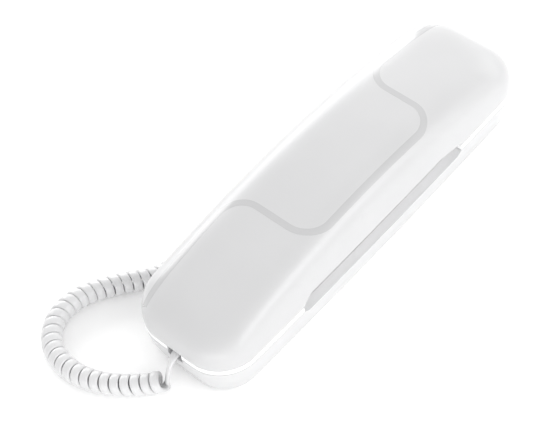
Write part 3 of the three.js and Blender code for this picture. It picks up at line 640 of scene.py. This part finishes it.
def wound_line():
    """The coil's line and, for each point, the way in to the coil's axis. Its first turn hangs loose."""
    axis = smooth_line([(x, NEAR_END + along) for x, along in COIL_POINTS], 0.2)
    run = np.concatenate([[0], np.cumsum(np.linalg.norm(np.diff(axis, axis=0), axis=1))])
    turns = round(run[-1] / COIL_PITCH - FIRST_TURN_SHARE) + FIRST_TURN_SHARE
    turn = np.linspace(0, turns, round(turns * 22) + 1)
    places = turn / turns * run[-1]
    centre = np.column_stack([np.interp(places, run, axis[:, k]) for k in (0, 1)])
    along = np.gradient(centre, axis=0)
    along /= np.linalg.norm(along, axis=1)[:, None]
    angle = 2 * math.pi * (FIRST_TURN_SHARE - turn)
    loose = np.clip(1 - turn / 1.3, 0, 1) ** 2
    radius = WIND_RADIUS + LOOSE_GROWTH * loose
    side = np.column_stack([-along[:, 1], along[:, 0]])
    out = np.column_stack([side * np.sin(angle)[:, None], np.cos(angle)])
    height = COIL_AXIS_Z + (LOOSE_GROWTH + LOOSE_LIFT) * loose
    points = np.column_stack([centre, height]) + radius[:, None] * out
    lean = TURN_LEAN * radius * (out @ np.array(COMBED_FROM))
    points[:, :2] += along * lean[:, None]
    return points, -out


def carried(points, facing):
    """The facing of a flat cord that isn't twisted along those points."""
    way = np.gradient(points, axis=0)
    way /= np.linalg.norm(way, axis=1)[:, None]
    turned_to = []
    for step in way:
        facing = facing - facing.dot(step) * step
        facing = facing / np.linalg.norm(facing)
        turned_to.append(facing)
    return np.array(turned_to)


def cord_line():
    """The whole cord from the handset's plug to the base's, and the way its flat side faces."""
    coil, facing = wound_line()
    up = np.array([0, 0, 1.0])
    first_way = (coil[1] - coil[0]) / np.linalg.norm(coil[1] - coil[0])
    lead = coil[0] - first_way * LEAD_IN + up * LEAD_RISE
    shared = RELAXED_POINTS
    joined = np.vstack([smooth_line([*DROP_POINTS, lead, coil[0]], CORD_STEP, coil[2])[:-1], coil[:shared]])
    for _ in range(RELAX_PASSES):
        joined[1:-1] = (joined[:-2] + 2 * joined[1:-1] + joined[2:]) / 4
    drop, coil[:shared] = joined[:-shared], joined[-shared:]
    share = np.linspace(0, 1, len(drop))[:, None]
    edgeways = np.clip((share - 0.08) / 0.3, 0, 1)
    twist = np.clip((share - 0.68) / 0.32, 0, 1)
    drop_facing = (1 - edgeways) * carried(drop, up) + edgeways * (1 - twist) * np.array(DROP_FACING)
    drop_facing += twist * facing[0]
    last_way = (coil[-1] - coil[-2]) / np.linalg.norm(coil[-1] - coil[-2])
    turn_in = eased(coil[-1], last_way, BASE_PLUG_END, (1, 0, 0))[1:]
    return np.vstack([drop, coil, turn_in]), np.vstack([drop_facing, facing, carried(turn_in, facing[-1])])


def cord_section():
    """The flat cord's rounded section: across its width, and out through its thickness."""
    section = []
    for k in range(16):
        angle = 2 * math.pi * k / 16
        across = math.copysign(abs(math.cos(angle)) ** 0.62, math.cos(angle)) * CORD_WIDTH / 2
        through = math.copysign(abs(math.sin(angle)) ** 0.8, math.sin(angle)) * CORD_THICKNESS / 2
        section.append((across, through))
    return section


def make_cord():
    points, facing = cord_line()
    way = np.gradient(points, axis=0)
    way /= np.linalg.norm(way, axis=1)[:, None]
    facing = facing - (facing * way).sum(1)[:, None] * way
    facing /= np.linalg.norm(facing, axis=1)[:, None]
    across = np.cross(way, facing)
    section = cord_section()
    count = len(section)
    rings = zip(points, across, facing)
    vertices = np.concatenate([[p + a * s + f * t for s, t in section] for p, a, f in rings])
    faces = [f for i in range(len(points) - 1) for f in bridge(i * count, (i + 1) * count, count)]
    faces += [tuple(range(count))[::-1], tuple(range(len(vertices) - count, len(vertices)))]
    piece = new_piece("curly_cord", vertices, faces, cord_jacket(), 60)
    paint_around(piece, count, len(points))
    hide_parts("cord_coil", "cord_handset_tail", "cord_base_tail")
    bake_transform(piece)
    return piece


def paint_around(piece, count, rings):
    """A UV map whose U runs round the section and V along the cord."""
    layer = piece.data.uv_layers.new(name="along")
    for polygon in piece.data.polygons:
        numbers = [piece.data.loops[i].vertex_index for i in polygon.loop_indices]
        wraps = max(n % count for n in numbers) - min(n % count for n in numbers) > count / 2
        for index, number in zip(polygon.loop_indices, numbers):
            around = number % count
            if wraps and around == 0:
                around = count
            layer.data[index].uv = (around / count, number // count / rings)


make_camera()
light_studio()
lay_floor()
cord = make_cord()


# ---- Handset: the domed back ------------------------------------------------------------------

DOME_ROWS = 44
INNER_ROWS = 16
INNER_LIP = 0.4


def rise_at(y):
    return END_RISE + CROWN_RISE * (1 - (y / HALF_LENGTH) ** 2)


def notch_height(y, drop=0.0):
    """How far the cover's edge is raised over a point at that y on its sides."""
    near = (y - NOTCH_NEAR) / NOTCH_NEAR_RAMP
    far = (NOTCH_FAR - y) / NOTCH_FAR_RAMP
    share = np.clip(np.minimum(near, far), 0, 1)
    return (NOTCH_RISE - drop) * share * (1.6 - 0.6 * share)


def on_sides():
    """1 for the outline's points on its long sides, else 0."""
    half = (PLAN_KIND == 2).astype(float)
    return np.concatenate([half, half[-2:0:-1]])


def contour(share, inset=0.0):
    """The dome's contour in plan at a share of the shoulder, for rows of shares."""
    return plan(
        HALF_WIDTH - inset + (SHOULDER * -1 + inset) * share,
        HALF_LENGTH - inset + (SHOULDER * -1 + inset) * share,
        CORNER - inset + ((HALF_WIDTH - SHOULDER) * 0.85 - CORNER + inset) * share,
    )


def halves(values):
    """Values for the whole outline, cut to the half that plan() mirrors."""
    return values[..., : len(PLAN_KIND)]


def dome_lift_tree():
    """Lifts flat plan rings to the dome: rise(y) times a superellipse of each point's shoulder share."""
    tree = Tree("dome lift", "Base Height", "End Rise", "Crown Rise", "Half Length", "Shoulder Power")
    given = tree.given
    power = given["Shoulder Power"]
    name = {"Name": "shoulder_share"}
    share = tree.add("GeometryNodeInputNamedAttribute", name, data_type="FLOAT")["Attribute"]
    along = tree.math("DIVIDE", tree.place()["Y"], given["Half Length"])
    crown = tree.math("SUBTRACT", 1.0, tree.math("MULTIPLY", along, along))
    rise = tree.math("MULTIPLY_ADD", given["Crown Rise"], crown, given["End Rise"])
    inward = tree.math("POWER", tree.math("SUBTRACT", 1.0, share), power)
    height = tree.math("POWER", tree.math("SUBTRACT", 1.0, inward), tree.math("DIVIDE", 1.0, power))
    offset = tree.vector(Z=tree.math("MULTIPLY_ADD", rise, height, given["Base Height"]))
    inputs = {"Geometry": given["Geometry"], "Offset": offset}
    return tree.finished(tree.add("GeometryNodeSetPosition", inputs)[0])


def shoulder(angle):
    """How far in and how high a superellipse of one by one has come at an angle."""
    power = 2 / SHOULDER_POWER
    return 1 - np.clip(np.cos(angle), 0, 1) ** power, np.clip(np.sin(angle), 0, 1) ** power


def shoulder_start(raised, rise):
    """The angle at which the shoulder is that high."""
    return np.arcsin(np.clip(raised / rise, 0, 1) ** (SHOULDER_POWER / 2))


def raised_share(raised, rise):
    """The shoulder share at which the dome is that high over its lower edge."""
    return 1 - (1 - np.clip(raised / rise, 0, 1) ** SHOULDER_POWER) ** (1 / SHOULDER_POWER)


def lifted(name, shares, material):
    """A dome surface from rows of shoulder shares, lifted by the tree."""
    x, y = contour(halves(shares))
    rows = len(shares)
    count = PLAN_COUNT
    points = np.stack([x.ravel(), y.ravel(), np.zeros(x.size)], -1)
    faces = [f for r in range(rows - 1) for f in bridge(r * count, (r + 1) * count, count)]
    faces += lid((rows - 1) * count, count, False)
    mesh = bpy.data.meshes.new(name)
    mesh.from_pydata((points * MM).tolist(), [], faces)
    attribute = mesh.attributes.new("shoulder_share", "FLOAT", "POINT")
    attribute.data.foreach_set("value", shares.ravel().astype(np.float32))
    return grown(name, mesh, dome_lift_tree(), {
        "Base Height": DOME_Z * MM, "End Rise": END_RISE * MM, "Crown Rise": CROWN_RISE * MM,
        "Half Length": HALF_LENGTH * MM, "Shoulder Power": float(SHOULDER_POWER), "Finish": material,
    })


def make_dome():
    """The back cover: the lifted dome, a small fillet round its lower edge and an inner surface."""
    side_y = plan(HALF_WIDTH, HALF_LENGTH, CORNER)[1]
    raised = notch_height(side_y) * on_sides()
    rise = rise_at(side_y)
    first = shoulder_start(raised + EDGE_FILLET, rise)
    turns = np.linspace(0, 1, DOME_ROWS)
    shares = np.clip([shoulder(first + (math.pi / 2 - first) * turn)[0] for turn in turns], 0, 1)
    shares[0] = raised_share(raised + EDGE_FILLET, rise)
    dome = lifted("handset_dome", shares, white_shell())
    add_edge(dome, raised, rise)
    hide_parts("handset_back_cover")
    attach(dome, "handset")


def add_edge(dome, raised, rise):
    """Closes the dome from its lower edge: a fillet, a flat underside and the inner surface."""
    count = PLAN_COUNT
    work = bmesh.new()
    work.from_mesh(dome.data)
    work.verts.ensure_lookup_table()
    above = [work.verts[i] for i in range(count)]
    angles = (0.5, 1.0, math.pi / 2)
    levels = [(EDGE_FILLET * (1 - math.cos(a)), EDGE_FILLET * (1 - math.sin(a))) for a in angles]
    levels.append((SHELL_WALL, 0.0))
    rows = []
    for inset, height in levels:
        x, y = plan(HALF_WIDTH - inset, HALF_LENGTH - inset, CORNER - inset)
        rows.append((x, y, DOME_Z + raised + height))
    first = shoulder_start(raised + INNER_LIP, rise - SHELL_WALL)
    for turn in np.linspace(0, 1, INNER_ROWS):
        share, height = shoulder(first + (math.pi / 2 - first) * turn)
        x, y = contour(halves(share), SHELL_WALL)
        rows.append((x, y, DOME_Z + (rise_at(y) - SHELL_WALL) * height))
    for x, y, z in rows:
        row = [work.verts.new((x[i] * MM, y[i] * MM, z[i] * MM)) for i in range(count)]
        for i in range(count):
            work.faces.new((row[i], row[(i + 1) % count], above[(i + 1) % count], above[i]))
        above = row
    for face in lid(0, count, True):
        work.faces.new([above[i] for i in face])
    work.to_mesh(dome.data)
    work.free()
    shade(dome)


make_dome()


# ---- The inlay, a ribbon laid on the dome -----------------------------------------------------

def inlay_path():
    """The inlay's middle line in plan: straight lanes joined by pairs of equal arcs."""
    near, middle, far = INLAY_LANES
    path = [(near, INLAY_ENDS[0])]
    angles = np.linspace(0, math.pi / 2, 17)
    arc = [(INLAY_BEND * (1 - math.cos(a)), INLAY_BEND * (1 - math.sin(a))) for a in angles]
    for y, start, end in ((INLAY_NEAR_CROSS, near, middle), (INLAY_FAR_CROSS, middle, far)):
        side = math.copysign(1, end - start)
        path += [(start + side * a, y - b) for a, b in arc]
        path += [(end - side * b, y + a) for a, b in arc]
    path.append((far, INLAY_ENDS[1]))
    return path


def surface_ribbon_tree():
    """Sweeps a flat strip along a line and drops it onto another piece."""
    tree = Tree("surface ribbon", "Surface", "Width", "Spacing", "Proud", "Depth")
    add, given = tree.add, tree.given
    curve = add("GeometryNodeMeshToCurve", {"Mesh": given["Geometry"]})[0]
    even = add("GeometryNodeResampleCurve", {"Curve": curve, "Length": given["Spacing"]}, mode="LENGTH")[0]
    upright = add("GeometryNodeSetCurveNormal", {0: even}, mode="Z_UP")[0]
    half = tree.math("MULTIPLY", given["Width"], 0.5)
    ends = {"Start": tree.vector(X=tree.math("MULTIPLY", half, -1)), "End": tree.vector(X=half)}
    strip = add("GeometryNodeCurvePrimitiveLine", ends)[0]
    across = add("GeometryNodeResampleCurve", {"Curve": strip, "Count": 9})[0]
    sweep = add("GeometryNodeCurveToMesh", {"Curve": upright, "Profile Curve": across})[0]
    down = tree.vector(Z=tree.math("MULTIPLY", given["Depth"], -1))
    thick = add("GeometryNodeExtrudeMesh", {"Mesh": sweep, "Offset": down, "Individual": False})["Mesh"]
    both = add("GeometryNodeJoinGeometry", {0: thick})[0]
    tree.tree.links.new(sweep, both.node.inputs[0])
    place = tree.place()
    above = tree.vector(X=place["X"], Y=place["Y"], Z=0.2)
    other = {"Object": given["Surface"]}
    surface = add("GeometryNodeObjectInfo", other, transform_space="ORIGINAL")["Geometry"]
    landed = add("GeometryNodeRaycast", {
        "Target Geometry": surface, "Source Position": above, "Ray Direction": (0, 0, -1), "Ray Length": 1,
    })["Hit Position"]
    lifting = tree.vector(Z=tree.math("ADD", place["Z"], given["Proud"]))
    lifted_to = add("ShaderNodeVectorMath", {0: landed, 1: lifting}, operation="ADD")[0]
    return tree.finished(add("GeometryNodeSetPosition", {"Geometry": both, "Position": lifted_to})[0])


def make_inlay(dome):
    path = [(x * MM, y * MM, 0) for x, y in inlay_path()]
    mesh = bpy.data.meshes.new("handset_inlay")
    mesh.from_pydata(path, [(i, i + 1) for i in range(len(path) - 1)], [])
    inlay = grown("handset_inlay", mesh, surface_ribbon_tree(), {
        "Surface": dome, "Width": INLAY_WIDTH * MM, "Spacing": 0.0008, "Proud": 0.00004,
        "Depth": 0.0006, "Finish": inlay_grey(),
    })
    finish_mesh(inlay, 50)
    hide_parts("handset_accent_inlay")
    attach(inlay, "handset")


make_inlay(bpy.data.objects["handset_dome"])


# ---- Covers: lofts cut by prisms --------------------------------------------------------------

def rounded_levels(inset_low, low, inset_high, high, radius, steps=5):
    """Levels of a nearly upright wall whose lower and upper edges are rounded."""
    levels = []
    for k in range(steps + 1):
        a = k / steps * math.pi / 2
        levels.append((inset_low + radius * (1 - math.sin(a)), low + radius * (1 - math.cos(a))))
    for k in range(steps + 1):
        a = k / steps * math.pi / 2
        levels.append((inset_high + radius * (1 - math.cos(a)), high - radius * (1 - math.sin(a))))
    return levels


def notch_room(lowered, name):
    """The room of both finger notches, with the same eased ends as the dome's edge."""
    ys = np.linspace(NOTCH_NEAR, NOTCH_FAR, 90)
    top = DOME_Z + notch_height(ys, lowered)
    outline_yz = [(NOTCH_NEAR, DOME_Z - 2), (NOTCH_FAR, DOME_Z - 2)]
    outline_yz += [(y, z) for y, z in zip(ys[::-1], top[::-1])]
    return prism(name, outline_yz)


SCREWS_HANDSET = [(0, 62.15, CAP_Z), (-15, -73.5, CAP_Z), (15, -73.5, CAP_Z)]
SCREWS_BASE = [(sx * 17, sy * 70, FOOT_STAND) for sy in (-1, 1) for sx in (-1, 1)]
FEET = [(sx * 15.5, sy * 90, 0) for sy in (-1, 1) for sx in (-1, 1)]
KEYHOLES = [(0, -48, 0), (0, 48, 0)]
EAR_Y = 79
EAR_RING = 5.5
MIC_Y = -76.5
PLUNGER_Y = 41.3


def make_front_cover():
    """Tub, keypad face and edge band in one shell, with the finger notches' lining."""
    tub = stack("handset_front", [
        (7.0, CAP_Z), (6.75, 13.66), (6.55, 13.85), (6.4, 14.15), (TUB_INSET, RIM_Z), (TUB_INSET, TUB_TOP),
    ])
    saddle = prism("saddle", [
        (SADDLE_NEAR - CAP_RAMP, 12.6), (SADDLE_FAR + CAP_RAMP, 12.6), (SADDLE_FAR + CAP_RAMP, 13.0),
        (SADDLE_FAR + 0.4, FACE_Z - 0.15), (SADDLE_FAR - 0.4, FACE_Z), (SADDLE_NEAR + 0.4, FACE_Z),
        (SADDLE_NEAR - 0.4, FACE_Z - 0.15), (SADDLE_NEAR - CAP_RAMP, 13.0),
    ])
    hollow = stack("hollow", [(8.4, 15.6), (7.4, RIM_Z), (7.4, TUB_TOP + 1)])
    floor = prism("floor block", [
        (-67.5, 14.6), (58.8, 14.6), (58.8, 15.6), (55.3, 18.6), (-64, 18.6), (-67.5, 15.6),
    ])
    carve(hollow, [floor])
    band = stack("band", rounded_levels(0, BAND_Z, 0, BAND_TOP, EDGE_FILLET))
    inside = stack("band inside", [(6.4, 18), (6.4, 24)])
    gap = block("band gap", (-80, NOTCH_NEAR, 18), (80, BAND_GAP_FAR, 24))
    carve(band, [inside, gap])
    lining = stack("lining", [(2.5, 22.3), (2.5, TUB_TOP)])
    ends = block("lining ends", (-80, NOTCH_NEAR - 2, 0), (80, NOTCH_FAR + 2, TUB_TOP))
    carve(lining, [ends], "INTERSECT")
    carve(lining, [stack("lining inside", [(6.4, 0), (6.4, 30)]), notch_room(0.2, "lining room")])
    carve(tub, [saddle, hollow])
    carve(tub, [band, lining], "UNION")
    window = rounded_stack("window", 0, 0, [(5.42, 4.3, 15), (5.42, 4.3, 20)], 2.3)
    windows = repeat("windows", window, [(x, y, 0) for _, x, y in key_places()])
    holes = repeat("sound holes", disc("hole", 0, 0, 1.1, 12, 17), ear_holes() + [(0, MIC_Y, 0)])
    seats = repeat("screw seats", disc("seat", 0, 0, 2.9, -1, 1.2), SCREWS_HANDSET)
    shanks = repeat("screw holes", disc("shank", 0, 0, 1.5, -1, 3), SCREWS_HANDSET)
    mouth = block("mouth", (-PLUG_HALF_WIDTH, -106, 16.6), (PLUG_HALF_WIDTH, -96.6, 23.2))
    plunger = disc("plunger hole", 0, PLUNGER_Y, 3.1, 15, 20)
    carve(tub, [windows, holes, seats, shanks, mouth, plunger])
    tub.name = "handset_front"
    # The whole front cover, notch lining and recess included, takes the painted-bright white: painted light,
    # not a whiter plastic.
    coat(tub, band_painted_bright())
    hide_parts("handset_front_cover")
    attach(tub, "handset")


def ear_holes():
    angles = [k * math.pi / 4 for k in range(8)]
    around = [(EAR_RING * math.cos(a), EAR_Y + EAR_RING * math.sin(a), 0) for a in angles]
    return [(0, EAR_Y, 0)] + around


def key_places():
    """Each key's name and place. The face is read from below, so the dial's left column is at +X."""
    rows = [
        (-52, ("star", "0", "hash")), (-39.8, ("7", "8", "9")), (-27.6, ("4", "5", "6")),
        (-15.4, ("1", "2", "3")), (0.6, ("mute", "flash", "redial")),
    ]
    return [(name, (1 - column) * 13.23, y) for y, names in rows for column, name in enumerate(names)]


def repeat_tree():
    """Puts a sample at every point, as real geometry."""
    made = bpy.data.node_groups.get("repeat at points")
    if made:
        return made
    tree = Tree("repeat at points", "Sample", "Scale")
    points = tree.add("GeometryNodeMeshToPoints", {"Mesh": tree.given["Geometry"]})[0]
    inputs = {"As Instance": True, "Object": tree.given["Sample"]}
    sample = tree.add("GeometryNodeObjectInfo", inputs, transform_space="ORIGINAL")["Geometry"]
    inputs = {"Points": points, "Instance": sample, "Scale": tree.given["Scale"]}
    return tree.finished(tree.add("GeometryNodeInstanceOnPoints", inputs)[0])


def repeat(name, sample, places, material=None):
    """One plain mesh of a sample piece at several places. The sample is removed."""
    mesh = bpy.data.meshes.new(name)
    mesh.from_pydata([tuple(np.multiply(p, MM)) for p in places], [], [])
    piece = grown(name, mesh, repeat_tree(), {"Sample": sample, "Scale": 1.0, "Finish": material})
    bpy.data.objects.remove(sample)
    shade(piece, 40)
    return piece


def base_inset(z):
    """How far the base's wall stands in from the outline at a height."""
    return 3.9 * ((RIM_Z - z) / (RIM_Z - FOOT_STAND)) ** 1.6


def make_base_top():
    """The base's upper shell: a wall that swells out to a rounded rim, with the handset's well in it."""
    heights = np.linspace(SHELL_Z + 0.3, RIM_Z - 0.5, 12)
    levels = [(base_inset(SHELL_Z) + 0.25, SHELL_Z)] + [(base_inset(z), z) for z in heights]
    levels += [(0.03, 19.2), (0.08, 19.32), (0.2, 19.38)]
    outer = stack("base_top", levels)
    well = stack("well", [
        (5.7, WELL_Z), (4.7, RIM_Z - 0.4), (4.55, RIM_Z - 0.15), (4.3, RIM_Z), (4.3, 21.5),
    ])
    table = prism("table", [
        (-64.5, 10.8), (55.8, 10.8), (55.8, WELL_Z), (53.2, TABLE_Z - 0.2), (52.4, TABLE_Z),
        (-61.1, TABLE_Z), (-61.9, TABLE_Z - 0.2), (-64.5, WELL_Z),
    ])
    carve(well, [table])
    room = stack("room", [(base_inset(SHELL_Z) + 2, SHELL_Z - 1), (base_inset(9.8) + 2, 9.8)])
    middle = stack("middle room", [(base_inset(SHELL_Z) + 2, SHELL_Z - 1), (base_inset(12.2) + 2, 12.2)])
    carve(middle, [block("middle ends", (-80, -58, 0), (80, 49.3, RIM_Z))], "INTERSECT")
    ys = np.linspace(NOTCH_NEAR, BAND_GAP_FAR, 80)
    ease = np.clip(np.minimum(ys - NOTCH_NEAR, BAND_GAP_FAR - ys) / 3.4, 0, 1)
    dip = RIM_Z - NOTCH_DROP * ease * ease * (3 - 2 * ease)
    outline_yz = [(y, z) for y, z in zip(ys, dip)] + [(BAND_GAP_FAR, RIM_Z + 1), (NOTCH_NEAR, RIM_Z + 1)]
    cutters = [well, room, middle, prism("rim notch", outline_yz)]
    cutters.append(block("cord slot", (-PLUG_HALF_WIDTH, -106, 16.6), (PLUG_HALF_WIDTH, -98.3, 21)))
    cutters.append(block("jack window", (-60, -57.1, 2.7), (-23.15, -46.9, 12.3)))
    cutters.append(block("line window", (-60, 28.15, 2.7), (-23.15, 39.85, 12.2)))
    cutters.append(block("knob window", (-60, -10.3, 6), (-21.15, 0.3, 9.2)))
    carve(outer, cutters)
    bosses = repeat("bosses", disc("boss", 0, 0, 3.05, 3.75, 10.4), [(x, y, 0) for x, y, _ in SCREWS_BASE])
    post = disc("post", 0, PLUNGER_Y, 4.3, 13.7, 15.1)
    carve(outer, [bosses, post], "UNION")
    pilots = repeat("pilots", disc("pilot", 0, 0, 1.5, 2.7, 10), [(x, y, 0) for x, y, _ in SCREWS_BASE])
    carve(outer, [pilots])
    coat(outer, base_shell())
    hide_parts("base_top_cover")
    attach(outer, "base")


def make_base_bottom():
    """The bottom plate with its hanging slots, foot pockets and screw seats."""
    plate = stack("base_bottom", [
        (base_inset(FOOT_STAND) + 2, FOOT_STAND), (base_inset(1.3) + 1.2, 1.3), (base_inset(1.6) + 0.7, 1.6),
        (base_inset(2.2) + 0.25, 2.2), (base_inset(3.2), 3.2), (base_inset(PLATE_TOP) + 0.2, PLATE_TOP),
    ])
    pad = [(7.3, 11.3, 0.6), (7.6, 11.6, 0.9), (7.6, 11.6, 1.7)]
    carve(plate, [rounded_stack("pad", 0, y + 4, pad, 4) for _, y, _ in KEYHOLES], "UNION")
    heads = repeat("slot heads", disc("slot head", 0, 0, 4.2, -1, 4.4), KEYHOLES)
    slot = rounded_stack("slot", 0, 4.95, [(2.3, 7.25, -1), (2.3, 7.25, 4.4)], 2.3)
    slots = repeat("slots", slot, KEYHOLES)
    pockets = repeat("foot pockets", disc("pocket", 0, 0, 5.3, -1, 1.8), FEET)
    seats = repeat("base seats", disc("seat", 0, 0, 2.9, -1, 2.4), [(x, y, 0) for x, y, _ in SCREWS_BASE])
    shanks = repeat("base holes", disc("shank", 0, 0, 1.55, -1, 4.4), [(x, y, 0) for x, y, _ in SCREWS_BASE])
    carve(plate, [heads, slots, pockets, seats, shanks])
    coat(plate, base_shell())
    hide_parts("base_bottom_cover")
    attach(plate, "base")


make_front_cover()
make_base_top()
make_base_bottom()


# ---- Keys and their legends -------------------------------------------------------------------

KEY_HALF_WIDTH = 5.115
KEY_HALF_LENGTH = 4
KEY_BOTTOM = 15.2
KEY_FLANGE_Z = 18.9
KEY_TOP = 19.8
KEY_DISH = 0.25
KEY_ROUNDING = 0.5
KEY_FLANGE = 0.9
DIGITS = {"star": "*", "hash": "#"}
MARKS = {
    "mute": [
        [(-2, 0.35), (2, 0.35), (2, -0.35), (-2, -0.35)], [(-0.35, 2), (0.35, 2), (0.35, -2), (-0.35, -2)],
    ],
    "flash": [[(0.5, 2.1), (-1.3, -0.4), (-0.1, -0.4), (-0.5, -2.1), (1.3, 0.4), (0.1, 0.4)]],
    "redial": [[(-2, 1.4), (-2, -1.4), (0, 0)], [(0.2, 1.4), (0.2, -1.4), (2.2, 0)]],
}


def make_key(name, x, y):
    """A dished key cap over a flange that holds it behind the face."""
    wide, long = KEY_HALF_WIDTH, KEY_HALF_LENGTH
    shares = (0.2, 0.45, 0.65, 0.8)
    dish = [(wide * share, long * share, KEY_BOTTOM + KEY_DISH * (1 - share ** 2)) for share in shares]
    rim = []
    for angle in np.linspace(0, math.pi / 2, 6):
        inset = KEY_ROUNDING * (1 - math.sin(angle))
        rim.append((wide - inset, long - inset, KEY_BOTTOM + KEY_ROUNDING * (1 - math.cos(angle))))
    outer = (wide + KEY_FLANGE, long + KEY_FLANGE)
    flange = [(wide, long, KEY_FLANGE_Z), (*outer, KEY_FLANGE_Z), (*outer, KEY_TOP)]
    key = rounded_stack(f"key_cap_{name}", x, y, dish + rim + flange, 2, key_white(), sides=8)
    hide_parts(f"key_{name}")
    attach(key, f"key_{name}")
    legend = make_mark(name, x, y) if name in MARKS else make_digit(name, x, y)
    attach(legend, f"key_{name}")


def make_digit(name, x, y):
    """The key's number, read from below."""
    text = bpy.data.curves.new(f"legend_{name}", "FONT")
    text.body = DIGITS.get(name, name)
    text.size = 5.4 * MM
    text.extrude = 0.1 * MM
    text.resolution_u = 3
    text.align_x = "CENTER"
    text.align_y = "CENTER"
    shape = add_object(f"legend_{name}", text)
    bpy.context.view_layer.update()
    depsgraph = bpy.context.evaluated_depsgraph_get()
    mesh = bpy.data.meshes.new_from_object(shape.evaluated_get(depsgraph), depsgraph=depsgraph)
    bpy.data.objects.remove(shape)
    place = Matrix.Translation(Vector((x, y, KEY_BOTTOM + 0.24)) * MM)
    mesh.transform(place @ Matrix.Rotation(math.pi, 4, "Y"))
    legend = add_object(f"key_legend_{name}", mesh)
    coat(legend, legend_ink())
    return legend


def make_mark(name, x, y):
    """A plain printed sign in place of a word: a cross, a spark or two arrowheads."""
    points, faces = [], []
    for polygon in MARKS[name]:
        first, count = len(points), len(polygon)
        for z in (KEY_BOTTOM + 0.14, KEY_BOTTOM + 0.34):
            points += [(x - px, y + py, z) for px, py in polygon]
        faces += bridge(first, first + count, count)
        faces += [tuple(range(first, first + count))[::-1], tuple(range(first + count, first + 2 * count))]
    return new_piece(f"key_legend_{name}", points, faces, legend_ink())


for key_name, key_x, key_y in key_places():
    make_key(key_name, key_x, key_y)


# ---- Plunger, screws and feet -----------------------------------------------------------------

def make_plunger():
    plunger = turned("hook_plunger_pin", 0, PLUNGER_Y, [
        (1.2, 15.4), (1.9, 15.48), (2.45, 15.75), (2.72, 16.15), (2.8, 16.6), (2.8, 21.9),
        (4, 21.9), (4, 22.7), (2.8, 22.7), (2.8, 24.4),
    ], key_white(), 40)
    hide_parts("hook_plunger")
    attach(plunger, "hook_plunger")


def screw_sample():
    """A pan head with a cross recess over a ridged shank, head down at the origin."""
    shank = [(1.25 if k % 2 else 0.98, 0.95 + k * 0.32) for k in range(18)]
    sample = turned("screw", 0, 0, [
        (1.5, 0.0), (2.1, 0.04), (2.45, 0.2), (2.6, 0.5), (2.6, 0.9), (1.25, 0.9), *shank, (0.5, 6.9),
    ], None, 24)
    arms = ((1.5, 0.28), (0.28, 1.5))
    return carve(sample, [block("slot", (-x, -y, -1), (x, y, 0.5)) for x, y in arms])


def make_screws():
    for body, places, nodes in (
        ("handset", SCREWS_HANDSET, [f"handset_screw_{k}" for k in (1, 2, 3)]),
        ("base", SCREWS_BASE, [f"base_screw_{k}" for k in (1, 2, 3, 4)]),
    ):
        screws = repeat(f"{body}_screws", screw_sample(), places, plated_steel())
        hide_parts(*nodes)
        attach(screws, body)


def make_feet():
    sample = turned("foot", 0, 0, [
        (1.0, 0.12), (1.6, 0.12), (1.8, 0.0), (2.6, 0.0), (2.8, 0.12), (3.3, 0.12), (3.5, 0.0),
        (4.55, 0.0), (4.85, 0.12), (5, 0.42), (5, 1.5),
    ], None, 32)
    feet = repeat("rubber_feet", sample, FEET, foot_rubber())
    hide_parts("foot_near_left", "foot_near_right", "foot_far_left", "foot_far_right")
    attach(feet, "base")


make_plunger()
make_screws()
make_feet()


# ---- Finishes of the pieces kept from the solid model -------------------------------------------

KEPT = {
    soft_silicone: ["keypad_mat"],
    solder_mask: ["handset_circuit_board", "base_circuit_board"],
    black_plastic: [
        "hook_switch", "earpiece_speaker", "base_ringer", "handset_jack", "base_handset_jack",
        "base_line_jack", "volume_switch_body",
    ],
    ear_foam: ["earpiece_gasket"],
    foot_rubber: ["microphone_boot"],
    plated_steel: ["microphone_capsule", "handset_ballast", "base_ballast"],
    key_white: ["volume_switch_knob"],
    clear_plug: ["handset_cord_plug", "base_cord_plug"],
}

for finish_of, names in KEPT.items():
    for node_name in names:
        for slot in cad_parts[node_name].material_slots:
            slot.material = finish_of()

bpy.context.view_layer.update()
